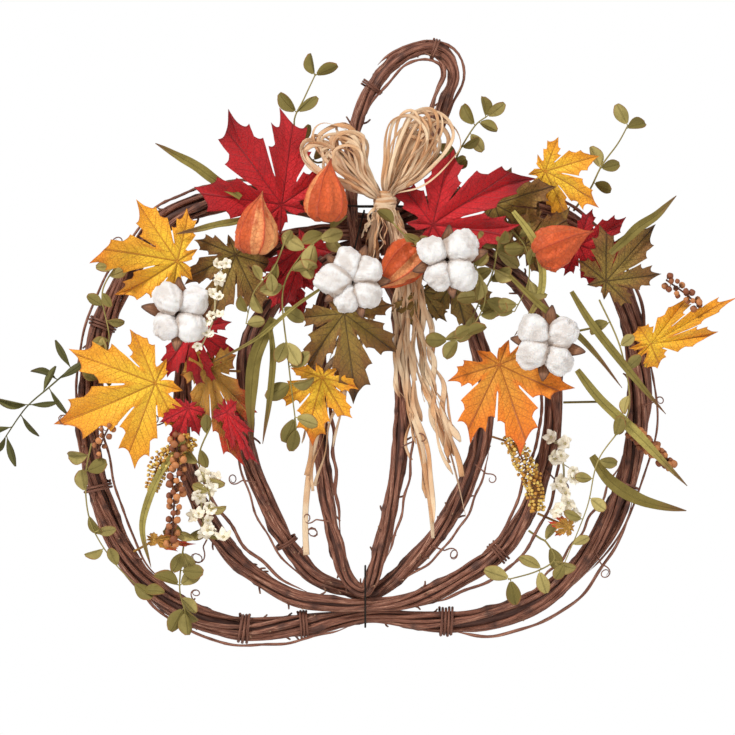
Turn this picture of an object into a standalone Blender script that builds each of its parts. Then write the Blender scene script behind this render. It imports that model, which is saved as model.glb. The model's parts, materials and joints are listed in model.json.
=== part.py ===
"""Pumpkin-shaped grapevine door wreath, dressed with autumn leaves, cotton bolls, lantern pods and a raffia bow.

Four nested hoops of wound vine are lashed together at the top and the bottom, and a fifth bundle makes the
pumpkin's curled stem. The frame is X to the right, Y away from the viewer and Z up, in metres. The origin is the
underside of the outer hoop's dip at the top, where a door hook carries the wreath.
"""

from math import cos, hypot, pi, radians, sin

import bmesh
import bpy
from mathutils import Matrix, Vector
from mathutils.geometry import convex_hull_2d

# ---------------------------------------------------------------- driving dimensions, in metres
GAP = 0.0003  # between pieces that touch

PUMPKIN_HEIGHT = 0.355  # from the dip at the top to the lashing at the bottom, between centrelines
OUTER_WIDTH = 0.500  # each hoop's width, between centrelines
MIDDLE_WIDTH = 0.334
INNER_WIDTH = 0.220
CENTER_WIDTH = 0.073
STEM_HEIGHT = 0.180
STEM_WIDTH = 0.092

OUTER_BUNDLE = 0.0110  # radius of each wound bundle of vine, away from the lashings
MIDDLE_BUNDLE = 0.0090
INNER_BUNDLE = 0.0088
CENTER_BUNDLE = 0.0076
STEM_BUNDLE = 0.0086
TOP_WAIST = 0.0076  # radius that the top lashing pulls the outer bundle down to
WAIST = 0.0064  # radius of the other bundles at a lashing
PINCH = 0.060  # how far from a lashing a bundle has swelled to its full radius
RIB_BULGE = 0.008  # how far each inner hoop bows forward of the one outside it, halfway down

LASH_WIRE = 0.0009  # radius of the lashing wire
STALK_WIRE = 0.0013  # radius of a leaf's wired stalk
STEM_WIRE = 0.0014  # radius of a sprig's wired stem

LEAF_THICK = 0.0012
BLADE_THICK = 0.0022
SPRIG_LEAF_THICK = 0.0020
TUFT = 0.0150  # radius of one lock of cotton
LANTERN_LENGTH = 0.050
LANTERN_RADIUS = 0.0180
BERRY = 0.0042
GRAIN = 0.0062
BLOSSOM = 0.0085
RAFFIA_STRAND_BUNDLE = 0.0040  # radius of the raffia drawn through the bow's loops
RAFFIA_TAIL = 0.0030  # radius of the raffia that hangs in each tail
KNOT = Vector((0.0110, 0.0085, 0.0090))  # half sizes of the raffia knot

# ---------------------------------------------------------------- colours: base colour, roughness
FINISHES = {
    "vine": ((0.16, 0.075, 0.045), 0.75),
    "wire": ((0.10, 0.08, 0.07), 0.5),
    "raffia": ((0.75, 0.52, 0.29), 0.7),
    "leaf_red": ((0.55, 0.02, 0.03), 0.6),
    "leaf_yellow": ((0.88, 0.44, 0.04), 0.6),
    "leaf_orange": ((0.85, 0.28, 0.02), 0.6),
    "leaf_brown": ((0.22, 0.12, 0.03), 0.6),
    "cotton": ((0.90, 0.87, 0.84), 0.95),
    "lantern": ((0.72, 0.16, 0.03), 0.6),
    "green": ((0.33, 0.32, 0.09), 0.55),
    "blade": ((0.42, 0.38, 0.12), 0.6),
    "berry": ((0.35, 0.11, 0.04), 0.4),
    "grain": ((0.52, 0.34, 0.05), 0.7),
    "blossom": ((0.85, 0.76, 0.58), 0.7),
}

# ---------------------------------------------------------------- the hoops' outlines
# Each point is (share of the hoop's half width, share of the pumpkin's height below the top dip), once round from
# the top dip by the left side. The top and bottom points themselves come from how the bundles nest.
OUTER_OUTLINE = [
    (-0.23, 0.04), (-0.43, 0.064), (-0.59, 0.045), (-0.75, -0.010), (-0.86, -0.125), (-0.955, -0.265),
    (-1.0, -0.42), (-1.0, -0.57), (-0.94, -0.74), (-0.83, -0.885), (-0.66, -0.985), (-0.46, -1.03),
    (-0.24, -1.022),
    None,
    (0.22, -1.012), (0.43, -1.005), (0.64, -0.95), (0.81, -0.83), (0.92, -0.68), (0.975, -0.515),
    (0.975, -0.355), (0.92, -0.19), (0.81, -0.055), (0.64, 0.030), (0.43, 0.062), (0.22, 0.040),
]
MIDDLE_OUTLINE = [
    (-0.26, -0.030), (-0.55, -0.072), (-0.79, -0.165), (-0.94, -0.30), (-1.0, -0.465), (-0.98, -0.60),
    (-0.89, -0.725), (-0.69, -0.86), (-0.42, -0.945), (-0.18, -0.967),
    None,
    (0.25, -0.955), (0.49, -0.905), (0.73, -0.825), (0.89, -0.70), (0.98, -0.555), (1.0, -0.415),
    (0.96, -0.265), (0.83, -0.160), (0.59, -0.072), (0.27, -0.030),
]
INNER_OUTLINE = [
    (-0.26, -0.082), (-0.58, -0.142), (-0.84, -0.232), (-0.98, -0.325), (-1.0, -0.470), (-0.97, -0.585),
    (-0.85, -0.690), (-0.73, -0.775), (-0.57, -0.852), (-0.40, -0.905), (-0.20, -0.93),
    None,
    (0.16, -0.918), (0.37, -0.860), (0.58, -0.785), (0.78, -0.680), (0.93, -0.560), (0.98, -0.445),
    (0.92, -0.330), (0.80, -0.225), (0.56, -0.140), (0.26, -0.082),
]
CENTER_OUTLINE = [
    (-0.42, -0.122), (-0.83, -0.172), (-1.05, -0.260), (-1.08, -0.370), (-1.02, -0.560), (-0.90, -0.690),
    (-0.72, -0.790), (-0.48, -0.880), (-0.31, -0.914),
    None,
    (0.16, -0.914), (0.33, -0.865), (0.62, -0.745), (0.86, -0.610), (0.95, -0.460), (0.93, -0.300),
    (0.84, -0.200), (0.50, -0.130),
]
CENTER_SHIFT = -0.004  # the narrow hoop sits this far left of the middle
# The stem: (share of its width right of the left leg, share of its height above the dip, share of the way back).
STEM_OUTLINE = [
    (0.06, -0.13, 0.0), (0.02, 0.03, 0.0), (0.0, 0.21, 0.35), (0.0, 0.42, 0.8), (0.10, 0.61, 1.0),
    (0.25, 0.745, 1.0), (0.46, 0.855, 1.0), (0.72, 0.905, 1.0), (0.93, 0.865, 1.0), (1.0, 0.765, 1.0),
    (0.93, 0.655, 1.0), (0.83, 0.53, 0.9), (0.69, 0.40, 0.7), (0.51, 0.245, 0.35), (0.37, 0.08, 0.0),
    (0.34, -0.13, 0.0),
]
STEM_LEFT = -0.0145
STEM_SETBACK = 0.014  # how far behind its legs the stem's crook lies


# ---------------------------------------------------------------- helpers
def clear_scene():
    for obj in list(bpy.data.objects):
        bpy.data.objects.remove(obj)


def new_collection(name):
    collection = bpy.data.collections.new(name)
    bpy.context.scene.collection.children.link(collection)
    return collection


def finish_material(name):
    found = bpy.data.materials.get(name)
    if found:
        return found
    material = bpy.data.materials.new(name)
    material.use_nodes = True
    shader = material.node_tree.nodes["Principled BSDF"]
    color, roughness = FINISHES[name]
    shader.inputs["Base Color"].default_value = (*color, 1)
    shader.inputs["Roughness"].default_value = roughness
    shader.inputs["Metallic"].default_value = 1.0 if name == "wire" else 0.0
    return material


def smooth(t):
    t = min(max(t, 0.0), 1.0)
    return t * t * (3 - 2 * t)


def spline_points(points, per_span, closed=False):
    """Points along the Catmull-Rom curve through the given ones."""
    count = len(points)
    made = []
    for i in range(count if closed else count - 1):
        if closed:
            p0, p1, p2, p3 = (points[(i + k) % count] for k in (-1, 0, 1, 2))
        else:
            p0, p1, p2, p3 = (points[min(max(i + k, 0), count - 1)] for k in (-1, 0, 1, 2))
        for step in range(per_span):
            t = step / per_span
            made.append(
                0.5 * (2 * p1 + (p2 - p0) * t + (2 * p0 - 5 * p1 + 4 * p2 - p3) * t**2
                       + (3 * p1 - p0 - 3 * p2 + p3) * t**3)
            )
    return made if closed else made + [points[-1].copy()]


def tube(name, points, radii, finish, closed=False, rounding=2, twist=0.0):
    """A round tube along the points, with its own radius at each, as a curve object."""
    curve = bpy.data.curves.new(name, "CURVE")
    curve.dimensions = "3D"
    curve.twist_mode = "MINIMUM"
    curve.bevel_depth = 1.0
    curve.bevel_resolution = rounding
    curve.use_fill_caps = True
    spline = curve.splines.new("POLY")
    spline.points.add(len(points) - 1)
    spline.use_cyclic_u = closed
    for point, place, radius in zip(spline.points, points, radii):
        point.co = (*place, 1)
        point.radius = radius
        point.tilt = twist
    obj = bpy.data.objects.new(name, curve)
    PARTS.objects.link(obj)
    curve.materials.append(finish_material(finish))
    return obj


def as_mesh(obj):
    """The object's evaluated shape as a mesh object of the same name, a curve's loose caps welded."""
    weld = obj.type == "CURVE"
    graph = bpy.context.evaluated_depsgraph_get()
    graph.update()
    mesh = bpy.data.meshes.new_from_object(obj.evaluated_get(graph))
    mesh.transform(obj.matrix_world)
    name = obj.name
    materials = list(mesh.materials)
    bpy.data.objects.remove(obj)
    work = bmesh.new()
    work.from_mesh(mesh)
    if weld:
        bmesh.ops.remove_doubles(work, verts=work.verts, dist=0.00001)
        bmesh.ops.recalc_face_normals(work, faces=work.faces)
    work.to_mesh(mesh)
    work.free()
    mesh.materials.clear()
    for material in materials[:1]:
        mesh.materials.append(material)
    made = bpy.data.objects.new(name, mesh)
    PARTS.objects.link(made)
    made.name = name
    return made


def mesh_object(name, work, finish):
    mesh = bpy.data.meshes.new(name)
    work.to_mesh(mesh)
    work.free()
    mesh.materials.append(finish_material(finish))
    obj = bpy.data.objects.new(name, mesh)
    PARTS.objects.link(obj)
    return obj


def ball(name, place, half_sizes, finish, turn=None, across=8, down=5):
    """A uv sphere stretched to the half sizes, turned, then put in place."""
    work = bmesh.new()
    bmesh.ops.create_uvsphere(work, u_segments=across, v_segments=down, radius=1.0)
    matrix = Matrix.Translation(place) @ (turn or Matrix.Identity(4)) @ Matrix.Diagonal((*half_sizes, 1.0))
    bmesh.ops.transform(work, matrix=matrix, verts=work.verts)
    return mesh_object(name, work, finish)


def fuse(name, shapes):
    """One closed body from overlapping mesh objects: the first takes the union with each of the rest in turn."""
    first = shapes[0]
    for shape in shapes[1:]:
        union = first.modifiers.new("union", "BOOLEAN")
        union.operation = "UNION"
        union.object = shape
        union.solver = "EXACT"
        first = as_mesh(first)
        bpy.data.objects.remove(shape)
    first.name = name
    first.data.name = name
    first.data.shade_smooth()
    first.data.set_sharp_from_angle(angle=radians(40))
    return first


def facing(turn, lean=0.0, roll=0.0):
    """Turns a piece whose tip points up and whose face looks at -Y. Turn is clockwise as the viewer sees it, lean
    brings the tip forward, and roll takes the right side back, all in degrees."""
    return (Matrix.Rotation(radians(turn), 4, "Y") @ Matrix.Rotation(radians(lean), 4, "X")
            @ Matrix.Rotation(radians(roll), 4, "Z"))


# ---------------------------------------------------------------- hoops
def nest(start, steps):
    """Centres, as (y, z), of bundles that lie against each other. Each step is (from which centre, radius, degrees
    from +Y at which the new bundle lies)."""
    centres = [start]
    for source, radius, degrees in steps:
        y, z, from_radius = centres[source]
        reach = from_radius + radius + GAP
        centres.append((y + reach * cos(radians(degrees)), z + reach * sin(radians(degrees)), radius))
    return centres


TOP_NEST = nest((0.0, TOP_WAIST, TOP_WAIST), [(0, WAIST, -128), (1, WAIST, -44), (2, WAIST, -136)])
BOTTOM_NEST = nest((0.0, TOP_WAIST - PUMPKIN_HEIGHT, WAIST), [(0, WAIST, 128), (1, WAIST, 41), (1, WAIST, 103)])


def hoop_line(outline, width, top, bottom, bulge, shift=0.0):
    """The hoop's centreline as a closed list of points, through its nested top and bottom."""
    points = [Vector((shift * 0.5, top[0], top[1]))]
    for place in outline:
        if place is None:
            points.append(Vector((shift, bottom[0], bottom[1])))
            continue
        across, up = place
        z = TOP_WAIST + up * PUMPKIN_HEIGHT
        down = min(max((top[1] - z) / (top[1] - bottom[1]), 0.0), 1.0)
        y = top[0] + (bottom[0] - top[0]) * smooth(down) - bulge * sin(pi * down)
        points.append(Vector((across * width / 2 + shift, y, z)))
    return points


def hoop_radii(line, full, waist_top, waist_bottom, top, bottom, pinch):
    """The bundle's radius at each point: drawn in near a lashing, full away from it."""
    made = []
    for p in line:
        near_top = smooth(hypot(p.x, p.z - top[1]) / pinch)
        near_bottom = smooth(hypot(p.x, p.z - bottom[1]) / pinch)
        made.append(min(waist_top + (full - waist_top) * near_top, waist_bottom + (full - waist_bottom) * near_bottom))
    return made


HOOPS = {}


def make_hoop(name, outline, width, full, index, bulge, pinch=PINCH, shift=0.0, per_span=2):
    top, bottom = TOP_NEST[index], BOTTOM_NEST[index]
    line = spline_points(hoop_line(outline, width, top, bottom, bulge, shift), per_span, closed=True)
    radii = hoop_radii(line, full, top[2], bottom[2], top, bottom, pinch)
    HOOPS[name] = (line, radii)
    return as_mesh(tube(name, line, radii, "vine", closed=True, twist=pi / 8))


def stem_line():
    front = TOP_NEST[1][0] - WAIST - GAP - WAIST
    points = []
    for across, up, back in STEM_OUTLINE:
        points.append(Vector((STEM_LEFT + across * STEM_WIDTH, front + back * STEM_SETBACK, up * STEM_HEIGHT)))
    return spline_points(points, 2)


def make_stem():
    line = stem_line()
    radii = [WAIST + (STEM_BUNDLE - WAIST) * smooth((p.z + 0.01) / PINCH) for p in line]
    HOOPS["stem_loop"] = (line, radii)
    return as_mesh(tube("stem_loop", line, radii, "vine"))


def make_frame():
    make_hoop("outer_hoop", OUTER_OUTLINE, OUTER_WIDTH, OUTER_BUNDLE, 0, 0.0)
    make_hoop("middle_hoop", MIDDLE_OUTLINE, MIDDLE_WIDTH, MIDDLE_BUNDLE, 1, RIB_BULGE * 0.5)
    make_hoop("inner_hoop", INNER_OUTLINE, INNER_WIDTH, INNER_BUNDLE, 2, RIB_BULGE * 1.5)
    make_hoop("center_hoop", CENTER_OUTLINE, CENTER_WIDTH, CENTER_BUNDLE, 3, RIB_BULGE, pinch=PINCH * 0.7,
              shift=CENTER_SHIFT)
    make_stem()


# ---------------------------------------------------------------- wire lashings
LASH_SIDES = 8


def tight_line(circles, lift):
    """The closed outline of a wire drawn tight round circles (u, v, radius), lifted off them."""
    spots = []
    for u, v, radius in circles:
        for step in range(LASH_SIDES):
            angle = 2 * pi * step / LASH_SIDES
            spots.append((u + (radius + lift) * cos(angle), v + (radius + lift) * sin(angle)))
    hull = [Vector(spots[i]) for i in convex_hull_2d(spots)]
    kept = [hull[0]]
    for place in hull[1:]:
        if (place - kept[-1]).length > LASH_WIRE * 2 and (place - kept[0]).length > LASH_WIRE * 2:
            kept.append(place)
    return kept


def make_lashing(name, centre, normal, side, bundles, window):
    """A wire loop drawn tight round the bundles where they cross the plane at centre. side lies in the plane, and
    only the bundles' stretches within window of the centre are tied."""
    normal = normal.normalized()
    up = normal.cross(side).normalized()
    side = up.cross(normal)
    circles = []
    for bundle in bundles:
        line, radii = HOOPS[bundle]
        closed = bundle != "stem_loop"
        for a, b, first, second in zip(line, line[1:] + line[:closed], radii, radii[1:] + radii[:closed]):
            steps = max(int((b - a).length / LASH_WIRE), 1)
            for step in range(steps):
                share = step / steps
                p = a.lerp(b, share) - centre
                off = max(abs(p.dot(normal)) - LASH_WIRE * 3, 0)
                radius = first + (second - first) * share
                if p.length < window and off < radius:
                    circles.append((p.dot(side), p.dot(up), (radius**2 - off**2) ** 0.5))
    lift = (GAP * 4 + LASH_WIRE) / cos(pi / LASH_SIDES)
    line = [centre + side * u + up * v for u, v in tight_line(circles, lift)]
    return as_mesh(tube(name, line, [LASH_WIRE] * len(line), "wire", closed=True, rounding=1))


def make_lashings():
    """At the top one wire ties the four hoops, and a slanting one ties them to the stem's left leg. One wire ties the
    bottom, and one holds the stem's legs together."""
    hoops = ["outer_hoop", "middle_hoop", "inner_hoop", "center_hoop"]
    left_leg = STEM_LEFT + STEM_OUTLINE[0][0] * STEM_WIDTH
    right_leg = STEM_LEFT + STEM_OUTLINE[-1][0] * STEM_WIDTH
    middle = (TOP_NEST[0][1] + TOP_NEST[3][1]) / 2
    across = Vector((0, 1, 0))
    centre = Vector((left_leg * 0.4 + right_leg * 0.6, TOP_NEST[1][0], middle))
    make_lashing("top_lashing", centre, Vector((1, 0, 0)), across, hoops, 0.030)
    centre = Vector((left_leg, TOP_NEST[1][0], middle))
    make_lashing("stem_root_lashing", centre, Vector((1, 0, -0.25)), across, hoops + ["stem_loop"], 0.048)
    centre = Vector((CENTER_SHIFT / 2, BOTTOM_NEST[1][0], BOTTOM_NEST[1][1]))
    make_lashing("bottom_lashing", centre, Vector((1, 0, 0)), across, hoops, 0.030)
    centre = Vector(((left_leg + right_leg) / 2, TOP_NEST[1][0] - 2 * WAIST, 0.115 * STEM_HEIGHT))
    make_lashing("stem_lashing", centre, Vector((0, 0, 1)), Vector((1, 0, 0)), ["stem_loop"], 0.04)


# ---------------------------------------------------------------- where the dressing goes
def spot(across, down, ahead):
    """A place on the pumpkin: shares of the outer half width and of the height below the dip's middle, and how far
    ahead of the hoops' front it lies."""
    front = TOP_NEST[1][0] - MIDDLE_BUNDLE
    return Vector((across * OUTER_WIDTH / 2, front - ahead, TOP_WAIST - down * PUMPKIN_HEIGHT))


def root_on_vine(place, aim, reach):
    """Where a wire of radius reach meets the vine: just off the nearest bundle, on the side that faces place. aim
    shifts the search by (right, up), so that a wire can pass a neighbour."""
    place = place + Vector((aim[0], 0, aim[1]))
    best = None
    for line, radii in HOOPS.values():
        for p, radius in zip(line, radii):
            distance = (place - p).length - radius
            if best is None or distance < best[0]:
                best = (distance, p, radius)
    _, p, radius = best
    front = Vector((place.x - p.x, min(place.y - p.y, -0.012), place.z - p.z)).normalized()
    return p + front * (radius + reach + GAP * 2)


def wire(name, points, radius, finish, per_span=2):
    line = spline_points(points, per_span)
    return as_mesh(tube(name, line, [radius] * len(line), finish, rounding=1))


def stalk(name, start, aim, radius, finish):
    """A wire from start back to the vine. An aim with a third value goes across before it goes back, to pass a
    neighbour behind it: that value is how much of the way across it has gone at its bend."""
    root = root_on_vine(start, aim, radius)
    across_first = len(aim) > 2
    bend = start.lerp(root, aim[2] if across_first else 0.2)
    bend.y = start.lerp(root, 0.3 if across_first else 0.7).y
    return wire(name, [start, bend, root], radius, finish)


# ---------------------------------------------------------------- maple leaves
# Lobes as (degrees from the tip, share of the leaf's length). Between neighbours lies a notch.
LOBES = [(-140, 0.27), (-93, 0.56), (-45, 0.82), (0, 1.0), (45, 0.82), (93, 0.56), (140, 0.27)]
NOTCHES = [0.22, 0.31, 0.39, 0.39, 0.31, 0.22]
TOOTH_SPREAD = 13  # degrees from a lobe's middle to its side teeth
TOOTH_REACH = 0.70  # the side teeth's share of the lobe's length


def leaf_outline(length):
    """The leaf's edge as (degrees from the tip, radius), once round from the stalk."""
    points = [(-178, 0.06 * length)]
    for i, (middle, share) in enumerate(LOBES):
        spread = min(TOOTH_SPREAD / share**0.5, 15)
        points.append((middle - spread, TOOTH_REACH * share * length))
        points.append((middle, share * length))
        points.append((middle + spread, TOOTH_REACH * share * length))
        if i < len(NOTCHES):
            halfway = (middle + LOBES[i + 1][0]) / 2
            points.append((halfway, NOTCHES[i] * length))
    points.append((178, 0.06 * length))
    return points


def make_leaf(name, place, length, width, turn, lean, roll, curl, finish, aim):
    """A maple leaf: a fan of faces from the vein junction to the edge, cupped back by curl at its tip, given a
    thickness, on a wired stalk that runs back to the nearest bundle of vine."""
    work = bmesh.new()
    edge = []
    for degrees, radius in leaf_outline(length):
        angle = radians(degrees)
        back = curl * (radius / length) ** 2
        edge.append(work.verts.new((width * radius * sin(angle), back, radius * cos(angle))))
    middle = work.verts.new((0, 0, 0))
    for a, b in zip(edge, edge[1:] + edge[:1]):
        work.faces.new((middle, a, b))
    bmesh.ops.recalc_face_normals(work, faces=work.faces)
    bmesh.ops.transform(work, matrix=Matrix.Translation(place) @ facing(turn, lean, roll), verts=work.verts)
    leaf = mesh_object(name, work, finish)
    thickness = leaf.modifiers.new("thickness", "SOLIDIFY")
    thickness.thickness = LEAF_THICK
    thickness.offset = 0.0
    leaf = as_mesh(leaf)
    start = place + facing(turn, lean, roll) @ Vector((0, LEAF_THICK * 0.4, 0.003))
    return fuse(name, [leaf, stalk(name + "_stalk", start, aim, STALK_WIRE, finish)])


# name, across, down, ahead, length, share of full width, turn, lean, roll, curl, finish, aim of the stalk
LEAVES = [
    ("maple_leaf_red_top_left", -0.306, -0.040, 0.021, 0.099, 1.0, -37, 10, 4, 0.008, "leaf_red", (0, 0)),
    ("maple_leaf_yellow_upper_left", -0.677, 0.102, 0.024, 0.080, 1.0, -80, 12, -6, 0.006, "leaf_yellow", (-0.03, 0)),
    ("maple_leaf_brown_left", -0.472, 0.085, 0.008, 0.062, 1.0, 200, 0, 0, 0.003, "leaf_brown", (0, 0)),
    ("maple_leaf_red_left", -0.62, 0.270, 0.009, 0.060, 1.0, 172, 4, 4, 0.003, "leaf_red", (0, 0)),
    ("maple_leaf_yellow_lower_left", -0.756, 0.408, 0.022, 0.096, 1.0, -115, 10, -5, 0.008, "leaf_yellow", (-0.02, 0)),
    ("maple_leaf_amber_left", -0.566, 0.370, 0.015, 0.098, 0.50, 166, 3, 0, 0.004, "leaf_brown", (0.02, 0, 0.9)),
    ("maple_leaf_red_center", -0.228, 0.062, 0.017, 0.064, 0.7, 196, 4, 0, 0.003, "leaf_red", (0, 0.02)),
    ("maple_leaf_brown_center", -0.083, 0.234, 0.022, 0.066, 1.0, 172, 6, 0, 0.004, "leaf_brown", (-0.02, 0)),
    ("maple_leaf_yellow_center", -0.160, 0.395, 0.021, 0.058, 1.0, 196, 4, 0, 0.003, "leaf_yellow", (0, 0)),
    ("maple_leaf_red_top_right", 0.232, 0.010, 0.020, 0.096, 0.9, 56, 8, 0, 0.006, "leaf_red", (0.02, 0)),
    ("maple_leaf_brown_top_right", 0.455, -0.042, 0.0065, 0.054, 1.0, 118, 2, 0, 0.003, "leaf_brown", (0, 0)),
    ("maple_leaf_olive_center_right", 0.305, 0.150, 0.009, 0.052, 1.0, 165, 3, 0, 0.003, "leaf_brown", (0, 0)),
    ("maple_leaf_orange_right", 0.468, 0.362, 0.030, 0.088, 1.0, 161, 8, 0, 0.007, "leaf_orange", (0, 0)),
    ("maple_leaf_yellow_top_right", 0.635, -0.125, 0.014, 0.054, 1.0, 96, 14, 8, 0.006, "leaf_yellow", (0, 0)),
    ("maple_leaf_red_right", 0.755, 0.060, 0.008, 0.058, 1.0, 110, 2, 0, 0.003, "leaf_red", (0, 0)),
    ("maple_leaf_olive_right", 0.848, 0.152, 0.025, 0.064, 0.9, 42, 4, 5, 0.005, "leaf_brown", (0, -0.02)),
    ("maple_leaf_yellow_far_right", 1.012, 0.310, 0.010, 0.090, 0.64, 62, 12, -8, 0.008, "leaf_yellow", (0, -0.02)),
]


def make_leaves():
    for name, across, down, ahead, length, width, turn, lean, roll, curl, finish, aim in LEAVES:
        make_leaf(name, spot(across, down, ahead), length, width, turn, lean, roll, curl, finish, aim)


# ---------------------------------------------------------------- cotton bolls
def make_cotton(name, place, turn, aim):
    """Four locks of cotton in an opened husk."""
    matrix = facing(turn)
    shapes = []
    for i in range(4):
        angle = radians(45 + 90 * i)
        reach = TUFT * 0.95
        offset = matrix @ Vector((reach * sin(angle), -TUFT * 0.25, reach * cos(angle)))
        shapes.append(ball(f"{name}_lock_{i}", place + offset, (TUFT, TUFT * 0.9, TUFT * 1.08), "cotton",
                           matrix @ Matrix.Rotation(angle + 0.02 * i, 4, "Y"), 8, 5))
    work = bmesh.new()
    bmesh.ops.create_cone(work, cap_ends=True, segments=10, radius1=TUFT * 0.45, radius2=TUFT * 1.5, depth=TUFT)
    husk_place = Matrix.Translation(place + Vector((0, TUFT * 0.55, 0))) @ Matrix.Rotation(pi / 2, 4, "X")
    bmesh.ops.transform(work, matrix=husk_place, verts=work.verts)
    shapes.append(mesh_object(name + "_husk", work, "cotton"))
    shapes.append(stalk(name + "_stalk", place + Vector((0, TUFT * 0.8, 0)), aim, STEM_WIRE, "cotton"))
    return fuse(name, shapes)


# name, across, down, ahead, turn, aim of the stalk
COTTON = [
    ("cotton_boll_left", -0.664, 0.235, 0.047, 4, (0, 0.03, 0.6)),
    ("cotton_boll_center_left", -0.050, 0.155, 0.056, 20, (-0.02, -0.01)),
    ("cotton_boll_center_right", 0.285, 0.105, 0.058, -8, (-0.015, -0.012, 0.7)),
    ("cotton_boll_right", 0.634, 0.312, 0.052, 10, (0, 0.03, 0.9)),
]


# ---------------------------------------------------------------- lantern pods
# The pod's profile as (share of its radius, share of its length from the mouth), down its outer side.
LANTERN_PROFILE = [(0.0, 1.0), (0.12, 0.93), (0.42, 0.76), (0.80, 0.52), (1.0, 0.28), (0.92, 0.10), (0.62, 0.0), (0.0, 0.02)]
LANTERN_RIBS = 6


def make_lantern(name, place, turn, lean, aim):
    """A papery pod, turned with one face between each pair of ribs."""
    work = bmesh.new()
    spots = []
    for out, up in LANTERN_PROFILE:
        spots.append(work.verts.new((out * LANTERN_RADIUS, 0, (up - 0.45) * LANTERN_LENGTH)))
    for a, b in zip(spots, spots[1:]):
        work.edges.new((a, b))
    pod = mesh_object(name, work, "lantern")
    screw = pod.modifiers.new("turned", "SCREW")
    screw.axis = "Z"
    screw.steps = LANTERN_RIBS
    screw.render_steps = LANTERN_RIBS
    screw.use_merge_vertices = True
    screw.merge_threshold = 0.0001
    pod.matrix_world = Matrix.Translation(place) @ facing(turn, lean)
    bpy.context.view_layer.update()
    start = place + Vector((0, LANTERN_RADIUS * 0.6, 0))
    return fuse(name, [as_mesh(pod), stalk(name + "_stalk", start, aim, STEM_WIRE, "lantern")])


# name, across, down, ahead, turn, lean, aim of the stalk
LANTERNS = [
    ("lantern_pod_left", -0.392, 0.015, 0.046, 3, 8, (0.015, -0.02, 0.9)),
    ("lantern_pod_center_left", -0.144, -0.065, 0.046, 0, 6, (-0.02, 0)),
    ("lantern_pod_center", 0.114, 0.120, 0.034, 222, 10, (-0.02, 0, 0.8)),
    ("lantern_pod_right", 0.684, 0.060, 0.044, 62, 4, (0, 0)),
]


# ---------------------------------------------------------------- long blades
def make_blade(name, points, width, aim, leaves_at):
    """A long grass blade along the points, widest a third of the way up and flattened front to back."""
    flat = BLADE_THICK / width
    line = spline_points([Vector((p.x, p.y / flat, p.z)) for p in points], 4)
    last = len(line) - 1
    radii = [max(width / 2 * (sin(pi * min(0.16 + 0.84 * i / last, 0.985))) ** 0.7, 0.0006) for i in range(last + 1)]
    blade = tube(name, line, radii, "blade", rounding=1)
    blade.scale = (1, flat, 1)
    bpy.context.view_layer.update()
    return fuse(name, [as_mesh(blade), stalk(name + "_stalk", points[leaves_at], aim, STALK_WIRE, "blade")])


# name, width, aim of the stalk, which point it leaves from, points as (across, down, ahead)
BLADES = [
    ("grass_blade_top_left", 0.0095, (0, 0), 1,
     [(-0.45, -0.055, 0.034), (-0.56, -0.110, 0.036), (-0.66, -0.155, 0.038), (-0.751, -0.190, 0.040)]),
    ("grass_blade_top_right", 0.0090, (0, 0), 2,
     [(0.86, 0.085, 0.038), (0.950, 0.025, 0.036), (1.03, -0.015, 0.036), (1.095, -0.060, 0.036)]),
    ("grass_blade_mid_right", 0.0075, (0, 0), 1,
     [(0.72, 0.18, 0.052), (0.80, 0.270, 0.050), (0.92, 0.375, 0.046), (1.056, 0.485, 0.040)]),
    ("grass_blade_low_right", 0.0100, (0, 0), 1,
     [(0.745, 0.375, 0.030), (0.83, 0.455, 0.030), (0.97, 0.545, 0.030), (1.135, 0.665, 0.030)]),
    ("grass_blade_bottom_right", 0.0120, (0, 0), 1,
     [(0.80, 0.590, 0.022), (0.87, 0.655, 0.022), (0.98, 0.705, 0.022), (1.135, 0.728, 0.022)]),
    ("grass_blade_center_left", 0.0120, (0, 0), 1,
     [(-0.335, 0.245, 0.032), (-0.395, 0.340, 0.030), (-0.415, 0.440, 0.028), (-0.410, 0.550, 0.026)]),
]


def make_blades():
    for name, width, aim, leaves_at, places in BLADES:
        make_blade(name, [spot(*place) for place in places], width, aim, leaves_at)


# ---------------------------------------------------------------- sprigs of round leaves
def rooted_line(places, aim, per_span):
    """A line from the vine through the places."""
    points = [spot(*place) for place in places]
    root = root_on_vine(points[0], aim, STEM_WIRE)
    bend = root.lerp(points[0], 0.6)
    bend.y = root.lerp(points[0], 0.35).y
    return spline_points([root, bend] + points, per_span)


def make_sprig(name, places, leaves, leaf_length, leaf_width, aim):
    """A wired stem from the vine through the places, with flat oval leaves on it as (share along, turn)."""
    line = rooted_line(places, aim, 2)
    shapes = [as_mesh(tube(name, line, [STEM_WIRE] * len(line), "green", rounding=1))]
    for i, (share, turn) in enumerate(leaves):
        base = line[round(share * (len(line) - 1))]
        way = facing(turn + i, 6 if i % 2 else -4)
        middle = base + way @ Vector((0, 0, leaf_length * 0.40))
        half = (leaf_width / 2, SPRIG_LEAF_THICK / 2, leaf_length / 2)
        shapes.append(ball(f"{name}_{i}", middle, half, "green", way @ Matrix.Rotation(0.3 * i, 4, "Z"), 6, 3))
    return fuse(name, shapes)


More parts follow.
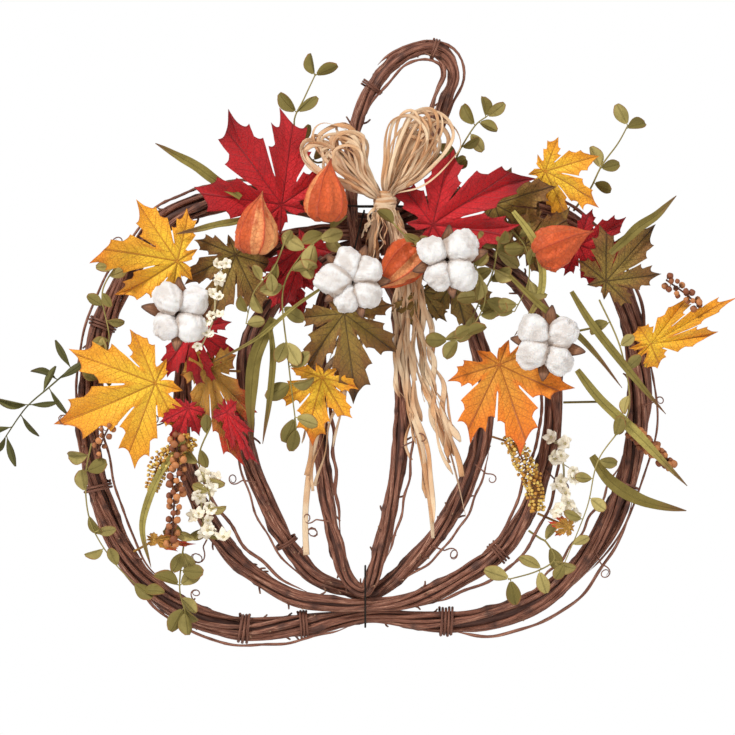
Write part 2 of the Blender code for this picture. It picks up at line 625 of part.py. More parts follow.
# name, leaf length, leaf width, aim of the root, stem places, leaves
SPRIGS = [
    ("eucalyptus_sprig_top_left", 0.021, 0.013, (0, 0),
     [(-0.19, -0.150, 0.004), (-0.235, -0.185, 0.006), (-0.262, -0.250, 0.008), (-0.225, -0.310, 0.008),
      (-0.185, -0.370, 0.008)],
     [(0.52, -70), (0.52, 20), (0.72, -45), (0.72, 55), (0.97, -25), (0.97, 65)]),
    ("eucalyptus_sprig_top_center", 0.020, 0.012, (0, 0),
     [(0.300, -0.135, 0.004), (0.335, -0.185, 0.006), (0.385, -0.240, 0.008), (0.425, -0.262, 0.008)],
     [(0.52, -50), (0.60, 75), (0.80, -30), (0.84, 110), (1.0, 60)]),
    ("eucalyptus_sprig_top_right", 0.021, 0.013, (0, 0),
     [(0.800, -0.085, 0.004), (0.838, -0.140, 0.006), (0.895, -0.195, 0.008), (0.930, -0.240, 0.008)],
     [(0.58, -25), (0.58, 75), (1.0, -20), (0.95, 70)]),
    ("eucalyptus_sprig_center", 0.023, 0.015, (0, 0.02),
     [(-0.165, 0.045, 0.040), (-0.235, 0.090, 0.040), (-0.300, 0.180, 0.040), (-0.282, 0.340, 0.038),
      (-0.268, 0.430, 0.037), (-0.252, 0.520, 0.036)],
     [(0.30, 80), (0.40, -60), (0.45, 150), (0.68, 150), (0.68, -150), (0.82, -120), (0.82, 95), (0.95, -150),
      (0.95, 110)]),
    ("eucalyptus_sprig_center_right", 0.022, 0.014, (0, 0),
     [(0.460, 0.075, 0.036), (0.440, 0.140, 0.038), (0.400, 0.200, 0.038), (0.365, 0.255, 0.036)],
     [(0.35, -60), (0.35, 100), (0.55, -110), (0.55, 130), (0.78, -85), (0.85, 100), (1.0, -150)]),
    ("eucalyptus_sprig_low_left", 0.022, 0.014, (0, 0),
     [(-0.650, 0.800, 0.012), (-0.665, 0.870, 0.018), (-0.668, 0.930, 0.020), (-0.650, 0.980, 0.020)],
     [(0.50, -155), (0.50, 155), (0.75, -65), (0.75, 60), (0.95, -150), (0.95, 150)]),
    ("eucalyptus_sprig_low_right", 0.022, 0.013, (0, 0),
     [(0.640, 0.810, 0.012), (0.665, 0.850, 0.022), (0.600, 0.880, 0.024), (0.500, 0.900, 0.024)],
     [(0.45, 150), (0.62, 120), (0.76, -60), (0.78, 165), (0.98, -75), (0.98, 175)]),
    ("olive_sprig_far_left", 0.028, 0.007, (0, 0),
     [(-1.060, 0.372, 0.004), (-1.140, 0.420, 0.006), (-1.220, 0.470, 0.008), (-1.290, 0.540, 0.008)],
     [(0.40, -25), (0.52, 60), (0.52, -60), (0.60, 140), (0.78, -85), (0.78, 80), (0.84, 150), (1.0, 170)]),
]


# ---------------------------------------------------------------- berries, grain heads and blossom
def make_cluster(name, places, size, finish, count, spread, aim):
    """Beads crowded round a stem from the vine through the places, in a spiral, as berries and blossom sit."""
    line = rooted_line(places, aim, 2)
    shapes = [as_mesh(tube(name, line, [STEM_WIRE] * len(line), finish, rounding=1))]
    first = len(line) // 2
    for i in range(count):
        share = i / max(count - 1, 1)
        base = line[first + round(share * (len(line) - 1 - first))]
        angle = i * radians(137.5)
        offset = Vector((cos(angle), 0.6 * sin(angle), 0.25 * sin(2 * angle))) * spread
        half = (size, size * 0.92, size * 1.06)
        shapes.append(ball(f"{name}_{i}", base + offset, half, finish, facing(40 * i, 25 * i, 10 * i), 5, 4))
    return fuse(name, shapes)


# name, bead, finish, count, spread, aim of the root, stem places
CLUSTERS = [
    ("berry_spray_left", BERRY, "berry", 8, 0.0036, (0, -0.03),
     [(-0.680, 0.530, 0.036), (-0.672, 0.620, 0.034), (-0.685, 0.700, 0.034), (-0.695, 0.815, 0.032)]),
    ("berry_spray_right", BERRY, "berry", 7, 0.0036, (0, 0),
     [(0.935, 0.520, 0.004), (0.985, 0.555, 0.008), (1.030, 0.580, 0.010), (1.085, 0.618, 0.012)]),
    ("grain_head_left", GRAIN, "grain", 7, 0.0052, (0, 0),
     [(-0.640, 0.560, 0.020), (-0.690, 0.590, 0.020), (-0.745, 0.615, 0.020), (-0.765, 0.680, 0.020)]),
    ("grain_head_right", GRAIN, "grain", 7, 0.0052, (0, 0),
     [(0.520, 0.560, 0.018), (0.560, 0.610, 0.018), (0.595, 0.665, 0.018), (0.605, 0.730, 0.018)]),
    ("blossom_spray_left", BLOSSOM, "blossom", 5, 0.0050, (0, 0),
     [(-0.560, 0.650, 0.024), (-0.590, 0.710, 0.024), (-0.580, 0.760, 0.024), (-0.530, 0.800, 0.024)]),
    ("blossom_spray_right", BLOSSOM, "blossom", 5, 0.0050, (0, 0),
     [(0.680, 0.560, 0.012), (0.700, 0.620, 0.012), (0.700, 0.690, 0.012), (0.720, 0.760, 0.012)]),
]


# ---------------------------------------------------------------- raffia bow
KNOT_SPOT = (0.062, -0.047)


def knot_place():
    leg_front = TOP_NEST[1][0] - WAIST - GAP - 2 * WAIST
    at = spot(*KNOT_SPOT, 0.0)
    return Vector((at.x, leg_front - GAP * 3 - LASH_WIRE * 2 - KNOT.y, at.z))


LOOP_AHEAD = 0.010
LOOP_RISE = 0.92


def make_bow():
    """The knot, and two loops of raffia that leave it up to the left and right, in front of the stem's legs."""
    knot = knot_place()
    ball("raffia_knot", knot, KNOT, "raffia", None, 12, 8)
    loops = {
        "raffia_loop_left": [(-0.012, 0.007), (-0.034, 0.021), (-0.056, 0.038), (-0.062, 0.056), (-0.048, 0.066),
                             (-0.031, 0.062), (-0.026, 0.048), (-0.022, 0.030), (-0.0085, 0.0125)],
        "raffia_loop_right": [(0.0000, 0.0145), (0.006, 0.036), (0.012, 0.060), (0.024, 0.077), (0.044, 0.075),
                              (0.056, 0.058), (0.050, 0.040), (0.032, 0.020), (0.0115, 0.0095)],
    }
    for name, places in loops.items():
        line = spline_points([knot + Vector((x, -LOOP_AHEAD, z * LOOP_RISE)) for x, z in places], 2)
        as_mesh(tube(name, line, [RAFFIA_STRAND_BUNDLE] * len(line), "raffia", rounding=2))


# Each tail's route: (metres right of the knot, metres ahead of the knot's middle, metres below it).
TAILS = {
    "raffia_tail_right": [(0.010, -0.001, 0.0105), (0.014, -0.006, 0.022), (0.018, -0.010, 0.040), (0.025, -0.010, 0.070),
                          (0.030, -0.010, 0.105), (0.036, -0.010, 0.140), (0.046, -0.010, 0.180), (0.056, -0.010, 0.215),
                          (0.064, -0.010, 0.245), (0.072, -0.009, 0.280)],
    "raffia_tail_middle": [(0.002, -0.001, 0.0115), (0.006, -0.004, 0.024), (0.011, -0.009, 0.045), (0.015, -0.010, 0.075),
                           (0.017, -0.010, 0.110), (0.020, -0.010, 0.150), (0.026, -0.010, 0.190), (0.034, -0.010, 0.230),
                           (0.040, -0.010, 0.265), (0.043, -0.010, 0.300)],
    "raffia_tail_left": [(-0.009, -0.001, 0.0105), (-0.010, -0.004, 0.022), (-0.013, -0.009, 0.048), (-0.017, -0.010, 0.080),
                         (-0.028, -0.010, 0.120), (-0.044, -0.010, 0.160), (-0.058, -0.010, 0.200), (-0.067, -0.010, 0.240),
                         (-0.071, -0.010, 0.280), (-0.070, -0.010, 0.315)],
}


def make_tails():
    knot = knot_place()
    for name, route in TAILS.items():
        line = spline_points([knot + Vector((x, -ahead, -drop)) for x, ahead, drop in route], 2)
        tube(name, line, [RAFFIA_TAIL] * len(line), "raffia", rounding=2)


# ---------------------------------------------------------------- the whole wreath
clear_scene()
PARTS = new_collection("harvest_door_wreath")
make_frame()
make_lashings()
make_bow()
make_tails()
make_leaves()
for name, across, down, ahead, turn, aim in COTTON:
    make_cotton(name, spot(across, down, ahead), turn, aim)
for name, across, down, ahead, turn, lean, aim in LANTERNS:
    make_lantern(name, spot(across, down, ahead), turn, lean, aim)
make_blades()
for name, leaf_length, leaf_width, aim, places, leaves in SPRIGS:
    make_sprig(name, places, leaves, leaf_length, leaf_width, aim)
for name, size, finish, count, spread, aim, places in CLUSTERS:
    make_cluster(name, places, size, finish, count, spread, aim)
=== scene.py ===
"""Looks of the harvest door wreath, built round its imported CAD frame.

Run it as a script. It is laid out as an add-on: each operator makes one group of pieces, and the panel
lists them. The frame is X to the right, Y away from the viewer and Z up, in metres.
"""

import json
from math import cos, pi, radians, sin

import bpy
import numpy as np
from bpy.props import FloatProperty, FloatVectorProperty, IntProperty, PointerProperty
from bpy.types import Operator, Panel, PropertyGroup
from mathutils import Matrix, Vector

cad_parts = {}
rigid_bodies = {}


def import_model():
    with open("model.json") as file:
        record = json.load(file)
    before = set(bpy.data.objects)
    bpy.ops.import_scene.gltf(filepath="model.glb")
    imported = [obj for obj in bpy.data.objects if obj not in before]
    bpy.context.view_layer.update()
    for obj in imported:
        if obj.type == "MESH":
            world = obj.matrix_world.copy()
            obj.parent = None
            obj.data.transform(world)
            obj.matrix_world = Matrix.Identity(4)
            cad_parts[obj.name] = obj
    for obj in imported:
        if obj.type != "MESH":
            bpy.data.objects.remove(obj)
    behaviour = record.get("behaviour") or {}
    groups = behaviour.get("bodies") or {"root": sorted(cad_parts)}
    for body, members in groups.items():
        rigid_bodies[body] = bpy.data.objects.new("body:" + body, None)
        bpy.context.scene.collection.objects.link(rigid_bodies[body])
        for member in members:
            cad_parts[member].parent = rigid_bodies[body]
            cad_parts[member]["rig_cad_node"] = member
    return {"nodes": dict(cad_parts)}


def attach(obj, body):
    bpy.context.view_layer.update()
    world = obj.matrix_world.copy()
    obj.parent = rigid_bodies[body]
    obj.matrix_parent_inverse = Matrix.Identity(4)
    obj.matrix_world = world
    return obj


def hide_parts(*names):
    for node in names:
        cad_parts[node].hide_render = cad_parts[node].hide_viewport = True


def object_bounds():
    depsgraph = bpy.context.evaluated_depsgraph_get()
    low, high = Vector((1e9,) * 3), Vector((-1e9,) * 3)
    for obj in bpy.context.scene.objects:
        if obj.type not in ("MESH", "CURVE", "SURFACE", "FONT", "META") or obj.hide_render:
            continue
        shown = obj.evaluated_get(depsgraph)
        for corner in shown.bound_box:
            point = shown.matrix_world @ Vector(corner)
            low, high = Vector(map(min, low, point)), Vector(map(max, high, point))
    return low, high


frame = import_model()
CAD_LOW, CAD_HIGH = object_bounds()

bl_info = {
    "name": "Harvest Door Wreath",
    "version": (1, 0, 0),
    "blender": (4, 5, 0),
    "location": "3D View > Sidebar > Wreath",
    "description": "Grapevine pumpkin hoops with autumn leaves, cotton, lantern pods and a raffia bow",
    "category": "Object",
}

# ------------------------ sizes shared with the CAD part, in metres
GAP = 0.0003
PUMPKIN_HEIGHT = 0.355  # from the dip at the top to the lashing at the bottom
OUTER_WIDTH = 0.5
MIDDLE_WIDTH = 0.334
INNER_WIDTH = 0.22
CENTER_WIDTH = 0.073
CENTER_SHIFT = -0.004  # the narrow hoop sits this far left of the middle
OUTER_BUNDLE = 0.011  # radius of each wound bundle of vine, away from the lashings
MIDDLE_BUNDLE = 0.009
INNER_BUNDLE = 0.0088
CENTER_BUNDLE = 0.0076
STEM_BUNDLE = 0.0086
TOP_WAIST = 0.0076  # radius of the outer bundle under the top lashing
WAIST = 0.0064  # radius of the other bundles at a lashing
PINCH = 0.06  # how far from a lashing a bundle has swelled to its full radius
RIB_BULGE = 0.008
STEM_HEIGHT = 0.18
STEM_WIDTH = 0.092
STEM_LEFT = -0.0145
STEM_SETBACK = 0.014
LASH_WIRE = 0.0009
STALK_WIRE = 0.0013
STEM_WIRE = 0.0014
KNOT_DEPTH = 0.0085  # half the raffia knot's size from front to back

# ------------------------ sizes of the fine surfaces, in metres
SLIM_STEM = 0.8  # the stem's bundle is drawn this much of its solid's radius
CORE_SHARE = 0.56  # radius of a bundle's core, painted near black as shade, as a share of the bundle's
KNOT_SPACING = 0.075  # from one knot of a vine to the next
WRAP_STEP = 0.001
TENDRIL_RADIUS = 0.00085
BLADE_THICKNESS = 0.0007
SPRIG_LEAF_THICKNESS = 0.0009
HUSK_THICKNESS = 0.0011
PETAL_THICKNESS = 0.0005
LOCK_WAVES = ((0.09, 1.6), (0.04, 0.6), (0.028, 0.13))  # height and length of a cotton lock's waves
CREASE_ANGLE = 60  # degrees past which neighbouring faces keep the crease between them
LEAF_CREASE_ANGLE = 55
GOLDEN_TURN = radians(137.5)  # the turn round a stem from one bead or blossom to the next
FLOOR_DROP = 0.132  # from the lowest tail's end down to the floor
LIT_POINT = (0, 0, -0.12)  # where the lights face


def srgb(red, green, blue):
    """A colour given as it looks on a screen, as the linear values that shaders use."""
    seen = np.array([red, green, blue])
    return tuple(float(x) for x in np.where(seen <= 0.04045, seen / 12.92, ((seen + 0.055) / 1.055) ** 2.4))


def color(name, description, *seen):
    return FloatVectorProperty(name=name, description=description, subtype="COLOR", size=3, min=0, max=1,
                               default=srgb(*seen))


def length(name, description, metres):
    return FloatProperty(name=name, description=description, default=metres, min=0, unit="LENGTH")


# ------------------------ properties
class WreathVines(PropertyGroup):
    strand_radius: length("Strand radius", "Radius of one vine in a bundle", 0.0022)
    twist_length: length("Twist length", "Length of bundle in which its vines go once round", 0.5)
    point_step: length("Point step", "Distance between the rings of a vine's surface", 0.0042)
    sides: IntProperty(name="Sides", description="Sides of a vine's section", default=10, min=6)
    bark: color("Bark", "Bark of the vines", 0.6, 0.37, 0.275)
    bark_dark: color("Dark bark", "Grooves and shaded bark", 0.29, 0.145, 0.105)
    # The light bark colours pale flaking bark and a painted highlight along the raised fibres.
    bark_flake_highlight: color("Light bark", "Rubbed fibres along the vines", 0.87, 0.67, 0.56)
    wire: color("Tie wire", "Lacquered tying wire", 0.16, 0.13, 0.11)


class WreathRaffia(PropertyGroup):
    strip_width: length("Strip width", "Width of one raffia strip in the bow", 0.004)
    tail_width: length("Tail width", "Width of each hanging tail", 0.006)
    strip_thickness: length("Strip thickness", "Thickness of a raffia strip", 0.0005)
    strips: IntProperty(name="Strips", description="Strips in each loop of the bow", default=22, min=3)
    straw: color("Straw", "Main colour of the raffia", 0.95, 0.75, 0.54)
    straw_pale: color("Pale straw", "Bleached stretches", 1.0, 0.89, 0.74)
    # The dark straw colours the darker fibres, and a darker copy of it is painted shade at the bow's knot.
    straw_dark: color("Dark straw", "Folds and fibres", 0.77, 0.52, 0.33)


class WreathLeaves(PropertyGroup):
    thickness: length("Leaf thickness", "Thickness of the leaf cloth", 0.0007)
    rings: IntProperty(name="Rings", description="Rings between a leaf's middle and its edge", default=16,
                       min=6)
    vein_spacing: length("Vein spacing", "Distance between side veins along a lobe", 0.0085)
    red: color("Red", "Crimson maple leaves", 0.8, 0.1, 0.13)
    yellow: color("Yellow", "Middle of the yellow leaves", 1.0, 0.8, 0.2)
    orange: color("Orange", "Orange leaves and yellow leaves' edges", 0.96, 0.53, 0.12)
    brown: color("Brown", "Brown olive leaves", 0.55, 0.37, 0.17)
    amber: color("Amber", "Amber leaf", 0.78, 0.55, 0.2)


class WreathDressing(PropertyGroup):
    tuft: length("Lock radius", "Radius of one lock of cotton", 0.015)
    pod_radius: length("Lantern radius", "Radius of a lantern pod across its ribs", 0.0188)
    pod_length: length("Lantern length", "Length of a lantern pod", 0.053)
    cotton: color("Cotton", "Cotton fibre", 0.97, 0.955, 0.94)
    husk: color("Husk", "Dried husk of the bolls", 0.74, 0.52, 0.37)
    lantern: color("Lantern", "Lantern pod", 0.85, 0.35, 0.11)
    # The pale lantern colour is a painted highlight on some panels of each pod.
    lantern_highlight: color("Pale lantern", "Brushed panels of a pod", 0.98, 0.72, 0.46)
    sprig: color("Sprig green", "Round sprig leaves", 0.57, 0.51, 0.26)
    sprig_pale: color("Pale sprig green", "New sprig leaves", 0.73, 0.66, 0.4)
    blade: color("Blade green", "Grass blades", 0.56, 0.49, 0.23)
    blade_tip: color("Blade tip", "Dried tips of the blades", 0.46, 0.32, 0.2)
    berry: color("Berry", "Bronze berries", 0.54, 0.29, 0.16)
    grain: color("Grain", "Seed heads", 0.8, 0.56, 0.2)
    blossom: color("Blossom", "Cream petals", 0.95, 0.9, 0.79)


class WreathStage(PropertyGroup):
    view_width: length("View width", "Width of the picture at the wreath", 0.6615)
    view_height: FloatProperty(name="View height", description="Height of the picture's middle",
                               default=-0.1234, unit="LENGTH")
    distance: length("Camera distance", "From the wreath to the camera", 3.5)
    fill: FloatProperty(name="Fill", description="Strength of the light from all round", default=0.5)
    key: FloatProperty(name="Key", description="Power of the main soft light", default=68, unit="POWER")
    floor: color("Floor", "Pale floor", 0.95, 0.945, 0.94)


# ------------------------ curves worked out as whole arrays
def unit(vectors):
    return vectors / np.maximum(np.linalg.norm(vectors, axis=-1, keepdims=True), 1e-12)


def spline(points, per_span, closed=False):
    """The Catmull-Rom curve: each span is the cubic whose end slopes are half the neighbours' chord."""
    given = np.asarray(points, float)
    count = len(given)
    span = np.arange(count if closed else count - 1)
    picks = [(span + k) % count if closed else np.clip(span + k, 0, count - 1) for k in (-1, 0, 1, 2)]
    a, b, c, d = (given[pick][:, None, :] for pick in picks)
    t = (np.arange(per_span) / per_span)[None, :, None]
    made = 0.5 * (2 * b + (c - a) * t + (2 * a - 5 * b + 4 * c - d) * t**2 + (3 * b - a - 3 * c + d) * t**3)
    made = made.reshape(-1, given.shape[1])
    return made if closed else np.vstack([made, given[-1:]])


def lengths_along(line):
    return np.concatenate([[0.0], np.cumsum(np.linalg.norm(np.diff(line, axis=0), axis=1))])


def resample(line, step, closed=False, *more):
    """The line with even steps of about the given length, and each further array read at the same places."""
    whole = np.vstack([line, line[:1]]) if closed else np.asarray(line, float)
    along = lengths_along(whole)
    count = max(int(round(along[-1] / step)), 3)
    at = np.linspace(0, along[-1], count, endpoint=not closed)
    made = np.stack([np.interp(at, along, whole[:, k]) for k in range(whole.shape[1])], axis=1)
    others = [np.interp(at, along, np.append(x, x[0]) if closed else x) for x in more]
    return (made, at / along[-1], *others)


def tangents(line, closed=False):
    if closed:
        return unit(np.roll(line, -1, 0) - np.roll(line, 1, 0))
    return unit(np.gradient(line, axis=0))


def frames(line, closed=False):
    """Tangent, side and up at each point. The side is square to the tangent and to the direction that the
    line keeps to least, which is the normal of a flat loop."""
    ahead = tangents(line, closed)
    least = np.linalg.svd(ahead, full_matrices=False)[2][-1]
    least = least if least[np.argmax(np.abs(least))] > 0 else -least
    side = unit(np.cross(ahead, least))
    return ahead, side, np.cross(side, ahead)


def waver(rng, at, slow, fast, terms=4):
    """A smooth wander of about unit size: sines of random whole frequencies, so it meets itself on a loop."""
    turns = rng.integers(slow, fast + 1, terms)
    phase = rng.uniform(0, 2 * pi, terms)
    return np.sin(2 * pi * np.multiply.outer(at, turns) + phase).sum(-1) / terms**0.5


def lumps(rng, points, scale, terms=7):
    """A smooth field of about unit size: sine waves in random directions, each about scale long."""
    ways = unit(rng.normal(size=(terms, 3))) * rng.uniform(0.6, 1.6, (terms, 1)) * 2 * pi / scale
    return np.sin(points @ ways.T + rng.uniform(0, 2 * pi, terms)).sum(-1) / (terms / 2) ** 0.5 / 1.5


def ease(t):
    t = np.clip(t, 0, 1)
    return t * t * (3 - 2 * t)


def facing(turn, lean=0.0, roll=0.0):
    """Rotation of a piece whose tip points up and whose face looks at -Y. Turn is clockwise as the viewer
    sees it, lean brings the tip forward, and roll takes the right side back, all in degrees."""
    return np.array(Matrix.Rotation(radians(turn), 3, "Y") @ Matrix.Rotation(radians(lean), 3, "X")
                    @ Matrix.Rotation(radians(roll), 3, "Z"))


# ------------------------ surfaces
class Surface:
    """Gathers grids of points into one mesh, with a UV map and named values at the points."""

    def __init__(self):
        self.points, self.quads, self.quad_uv, self.tris, self.tri_uv, self.values = [], [], [], [], [], []
        self.count = 0

    def _points(self, points, values):
        self.points.append(points)
        self.values.append({name: np.broadcast_to(value, len(points)) for name, value in values.items()})
        first = self.count
        self.count += len(points)
        return first

    def grid(self, points, uv=None, around=False, caps=(False, False), flip=False, left_uv=None, **values):
        """Faces between the rows and columns of points. around joins the last column to the first, and
        caps close the first and last rows with a fan to their middle. uv is (rows, columns, 2), with
        one column more where it goes around. A pattern that breaks between columns gives the uv of
        each column's two sides."""
        rows, columns = points.shape[:2]
        flat = {name: np.broadcast_to(value, (rows, columns)).reshape(-1) for name, value in values.items()}
        first = self._points(points.reshape(-1, 3), flat)
        index = first + np.arange(rows * columns).reshape(rows, columns)
        wide = np.concatenate([index, index[:, :1]], 1) if around else index
        quads = np.stack([wide[:-1, :-1], wide[:-1, 1:], wide[1:, 1:], wide[1:, :-1]], -1).reshape(-1, 4)
        if uv is None:
            uv = np.stack(np.meshgrid(np.linspace(0, 1, wide.shape[1]), np.linspace(0, 1, rows)), -1)
        left, right = (uv[:, :-1], uv[:, 1:]) if left_uv is None else (left_uv, uv)
        corners = np.stack([left[:-1], right[:-1], right[1:], left[1:]], 2).reshape(-1, 4, 2)
        self.quads.append(quads[:, ::-1] if flip else quads)
        self.quad_uv.append(corners[:, ::-1] if flip else corners)
        for row, wanted in ((0, caps[0]), (-1, caps[1])):
            if wanted:
                ring = index[row]
                middle = points[row].mean(0)[None]
                mean = {name: value.reshape(rows, columns)[row].mean() for name, value in flat.items()}
                centre = self._points(middle, mean)
                fan = np.stack([np.full(columns, centre), np.roll(ring, -1), ring], 1)
                outward = (row == 0) == flip
                self.tris.append(fan[:, ::-1] if outward else fan)
                edge = np.stack([(left[row] + right[row]) / 2, right[row], left[row]], 1)
                self.tri_uv.append(edge[:, ::-1] if outward else edge)
        return index

    def build(self, name, finish, smooth_under=None):
        """Makes the object in the named finish. Faces sharper than smooth_under degrees keep a sharp edge."""
        mesh = bpy.data.meshes.new(name)
        points = np.concatenate(self.points)
        quads = np.concatenate(self.quads)
        tris = np.concatenate(self.tris) if self.tris else np.zeros((0, 3), int)
        corners = np.concatenate([quads.reshape(-1), tris.reshape(-1)])
        starts = np.concatenate([np.arange(len(quads)) * 4, len(quads) * 4 + np.arange(len(tris)) * 3])
        mesh.vertices.add(len(points))
        mesh.vertices.foreach_set("co", points.astype(np.float32).reshape(-1))
        mesh.loops.add(len(corners))
        mesh.loops.foreach_set("vertex_index", corners.astype(np.int32))
        mesh.polygons.add(len(starts))
        mesh.polygons.foreach_set("loop_start", starts.astype(np.int32))
        mesh.update(calc_edges=True)
        uv = np.concatenate([x.reshape(-1, 2) for x in self.quad_uv + self.tri_uv])
        mesh.uv_layers.new(name="UVMap").data.foreach_set("uv", uv.astype(np.float32).reshape(-1))
        for value in sorted({key for values in self.values for key in values}):
            parts = [x.get(value, np.zeros(len(p))) for x, p in zip(self.values, self.points)]
            layer = mesh.attributes.new(value, "FLOAT", "POINT")
            layer.data.foreach_set("value", np.concatenate(parts).astype(np.float32))
        mesh.shade_smooth()
        if smooth_under:
            mesh.set_sharp_from_angle(angle=radians(smooth_under))
        mesh.materials.append(bpy.data.materials[finish])
        made = bpy.data.objects.new(name, mesh)
        bpy.context.scene.collection.objects.link(made)
        return made


def tube(surface, line, radius, sides=8, closed=False, flat=1.0, turn=0.0, rough=None, pointed=False,
         **values):
    """A section carried along the line: a circle of the given radius, squeezed by flat across its own up
    direction and turned by turn. rough is a share by which each point moves out."""
    line = np.asarray(line, float)
    _, side, up = frames(line, closed)
    radius = np.broadcast_to(radius, len(line)).astype(float)
    if pointed:
        done, left = np.linspace(0, 1, len(line)), np.linspace(1, 0, len(line))
        radius = radius * np.clip(done * 14, 0.12, 1) * np.clip(left * 5, 0.08, 1) ** 0.7
    turn = np.broadcast_to(turn, len(line))[:, None]
    around = np.linspace(0, 2 * pi, sides, endpoint=False)[None, :]
    wide, high = np.cos(around), np.sin(around) * np.reshape(flat, (-1, 1))
    across = wide * np.cos(turn) - high * np.sin(turn)
    over = wide * np.sin(turn) + high * np.cos(turn)
    swell = radius[:, None] * (1 if rough is None else 1 + rough)
    out = across[..., None] * side[:, None] + over[..., None] * up[:, None]
    points = line[:, None] + out * swell[..., None]
    along = lengths_along(line)
    uv = np.stack(np.meshgrid(np.linspace(0, 1, sides + 1), along), -1)[..., ::-1]
    values = {name: np.asarray(v)[:, None] if np.ndim(v) == 1 else v for name, v in values.items()}
    if closed:
        points = np.concatenate([points, points[:1]])
        whole = along[-1] + np.linalg.norm(line[-1] - line[0])
        uv = np.concatenate([uv, uv[:1] + [whole, 0]])
        values = {name: np.concatenate([v, v[:1]]) if np.ndim(v) == 2 else v for name, v in values.items()}
        first = surface.count
        surface.grid(points, uv, around=True, flip=True, **values)
        weld_rows(surface, first, len(line), sides)
        return
    surface.grid(points, uv, around=True, caps=(True, True), flip=True, **values)


def weld_rows(surface, first, rows, sides):
    """Joins a loop's last row to its first: the faces on the copied row take the first, and the copy goes."""
    quads = surface.quads[-1]
    copied = quads >= first + rows * sides
    surface.quads[-1] = np.where(copied, quads - rows * sides, quads)
    surface.points[-1] = surface.points[-1][: rows * sides]
    surface.values[-1] = {name: value[: rows * sides] for name, value in surface.values[-1].items()}
    surface.count -= sides


def blade_body(surface, points, thickness, uv=None, left_uv=None, around=False, **values):
    """A thin closed body on a grid: the grid's own normals carry a front and a back surface half the
    thickness away, and a strip closes the rim. A grid that goes around starts with a small ring, closed by
    fans."""
    along = np.gradient(points, axis=0)
    if around:
        across = np.roll(points, -1, 1) - np.roll(points, 1, 1)
    else:
        across = np.gradient(points, axis=1)
    normal = unit(np.cross(along, across))
    edge = np.ones(points.shape[:2])
    edge[-1] = 0.35
    if not around:
        edge[0], edge[:, 0], edge[:, -1] = 0.35, 0.35, 0.35
    offset = normal * (thickness / 2) * edge[..., None]
    front = surface.grid(points + offset, uv, around, (around, False), True, left_uv, **values)
    back = surface.grid(points - offset, uv, around, (around, False), False, left_uv, **values)
    if around:
        a, b = front[-1], back[-1]
    else:
        a, b = (np.concatenate([x[0, :-1], x[:-1, -1], x[-1, :0:-1], x[:0:-1, 0]]) for x in (front, back))
    rim = np.stack([a, np.roll(a, -1), np.roll(b, -1), b], 1)
    surface.quads.append(rim[:, ::-1] if around else rim)
    surface.quad_uv.append(np.zeros((len(rim), 4, 2)) if uv is None else rim_uv(rim, front, uv))


def rim_uv(rim, front, uv):
    """The rim reads the UV of the front's edge next to it, the same at its front and back corners."""
    row, column = np.divmod(rim[:, :2] - front[0, 0], front.shape[1])
    near = uv[np.minimum(row, uv.shape[0] - 1), np.minimum(column, uv.shape[1] - 1)]
    return near[:, [0, 1, 1, 0]]


def place(piece, slot, *nodes):
    """Puts a finished piece on the wreath's one body, instead of the named CAD nodes. slot is not used."""
    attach(piece, "root")
    if nodes:
        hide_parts(*nodes)
    return piece


# ------------------------ shader expressions
class Value:
    """A number socket. Adding, multiplying and so on make the Math nodes that work it out."""

    def __init__(self, finish, socket):
        self.finish, self.socket = finish, socket

    def _math(self, operation, *terms):
        return self.finish.number("ShaderNodeMath", {"operation": operation}, dict(enumerate(terms)))

    def __add__(self, other):
        return self._math("ADD", self, other)

    def __sub__(self, other):
        return self._math("SUBTRACT", self, other)

    def __rsub__(self, other):
        return self._math("SUBTRACT", other, self)

    def __mul__(self, other):
        return self._math("MULTIPLY", self, other)

    def __truediv__(self, other):
        return self._math("DIVIDE", self, other)

    def __abs__(self):
        return self._math("ABSOLUTE", self)

    __radd__, __rmul__ = __add__, __mul__

    def cosine(self):
        return self._math("COSINE", self)

    def sine(self):
        return self._math("SINE", self)

    def part(self):
        return self._math("FRACT", self)

    def most(self, other):
        return self._math("MAXIMUM", self, other)

    def between(self, low, high):
        """0 below low, 1 above high, and eased from one to the other."""
        sockets = {"Value": self, "From Min": low, "From Max": high}
        return self.finish.number("ShaderNodeMapRange", {"interpolation_type": "SMOOTHSTEP"}, sockets)


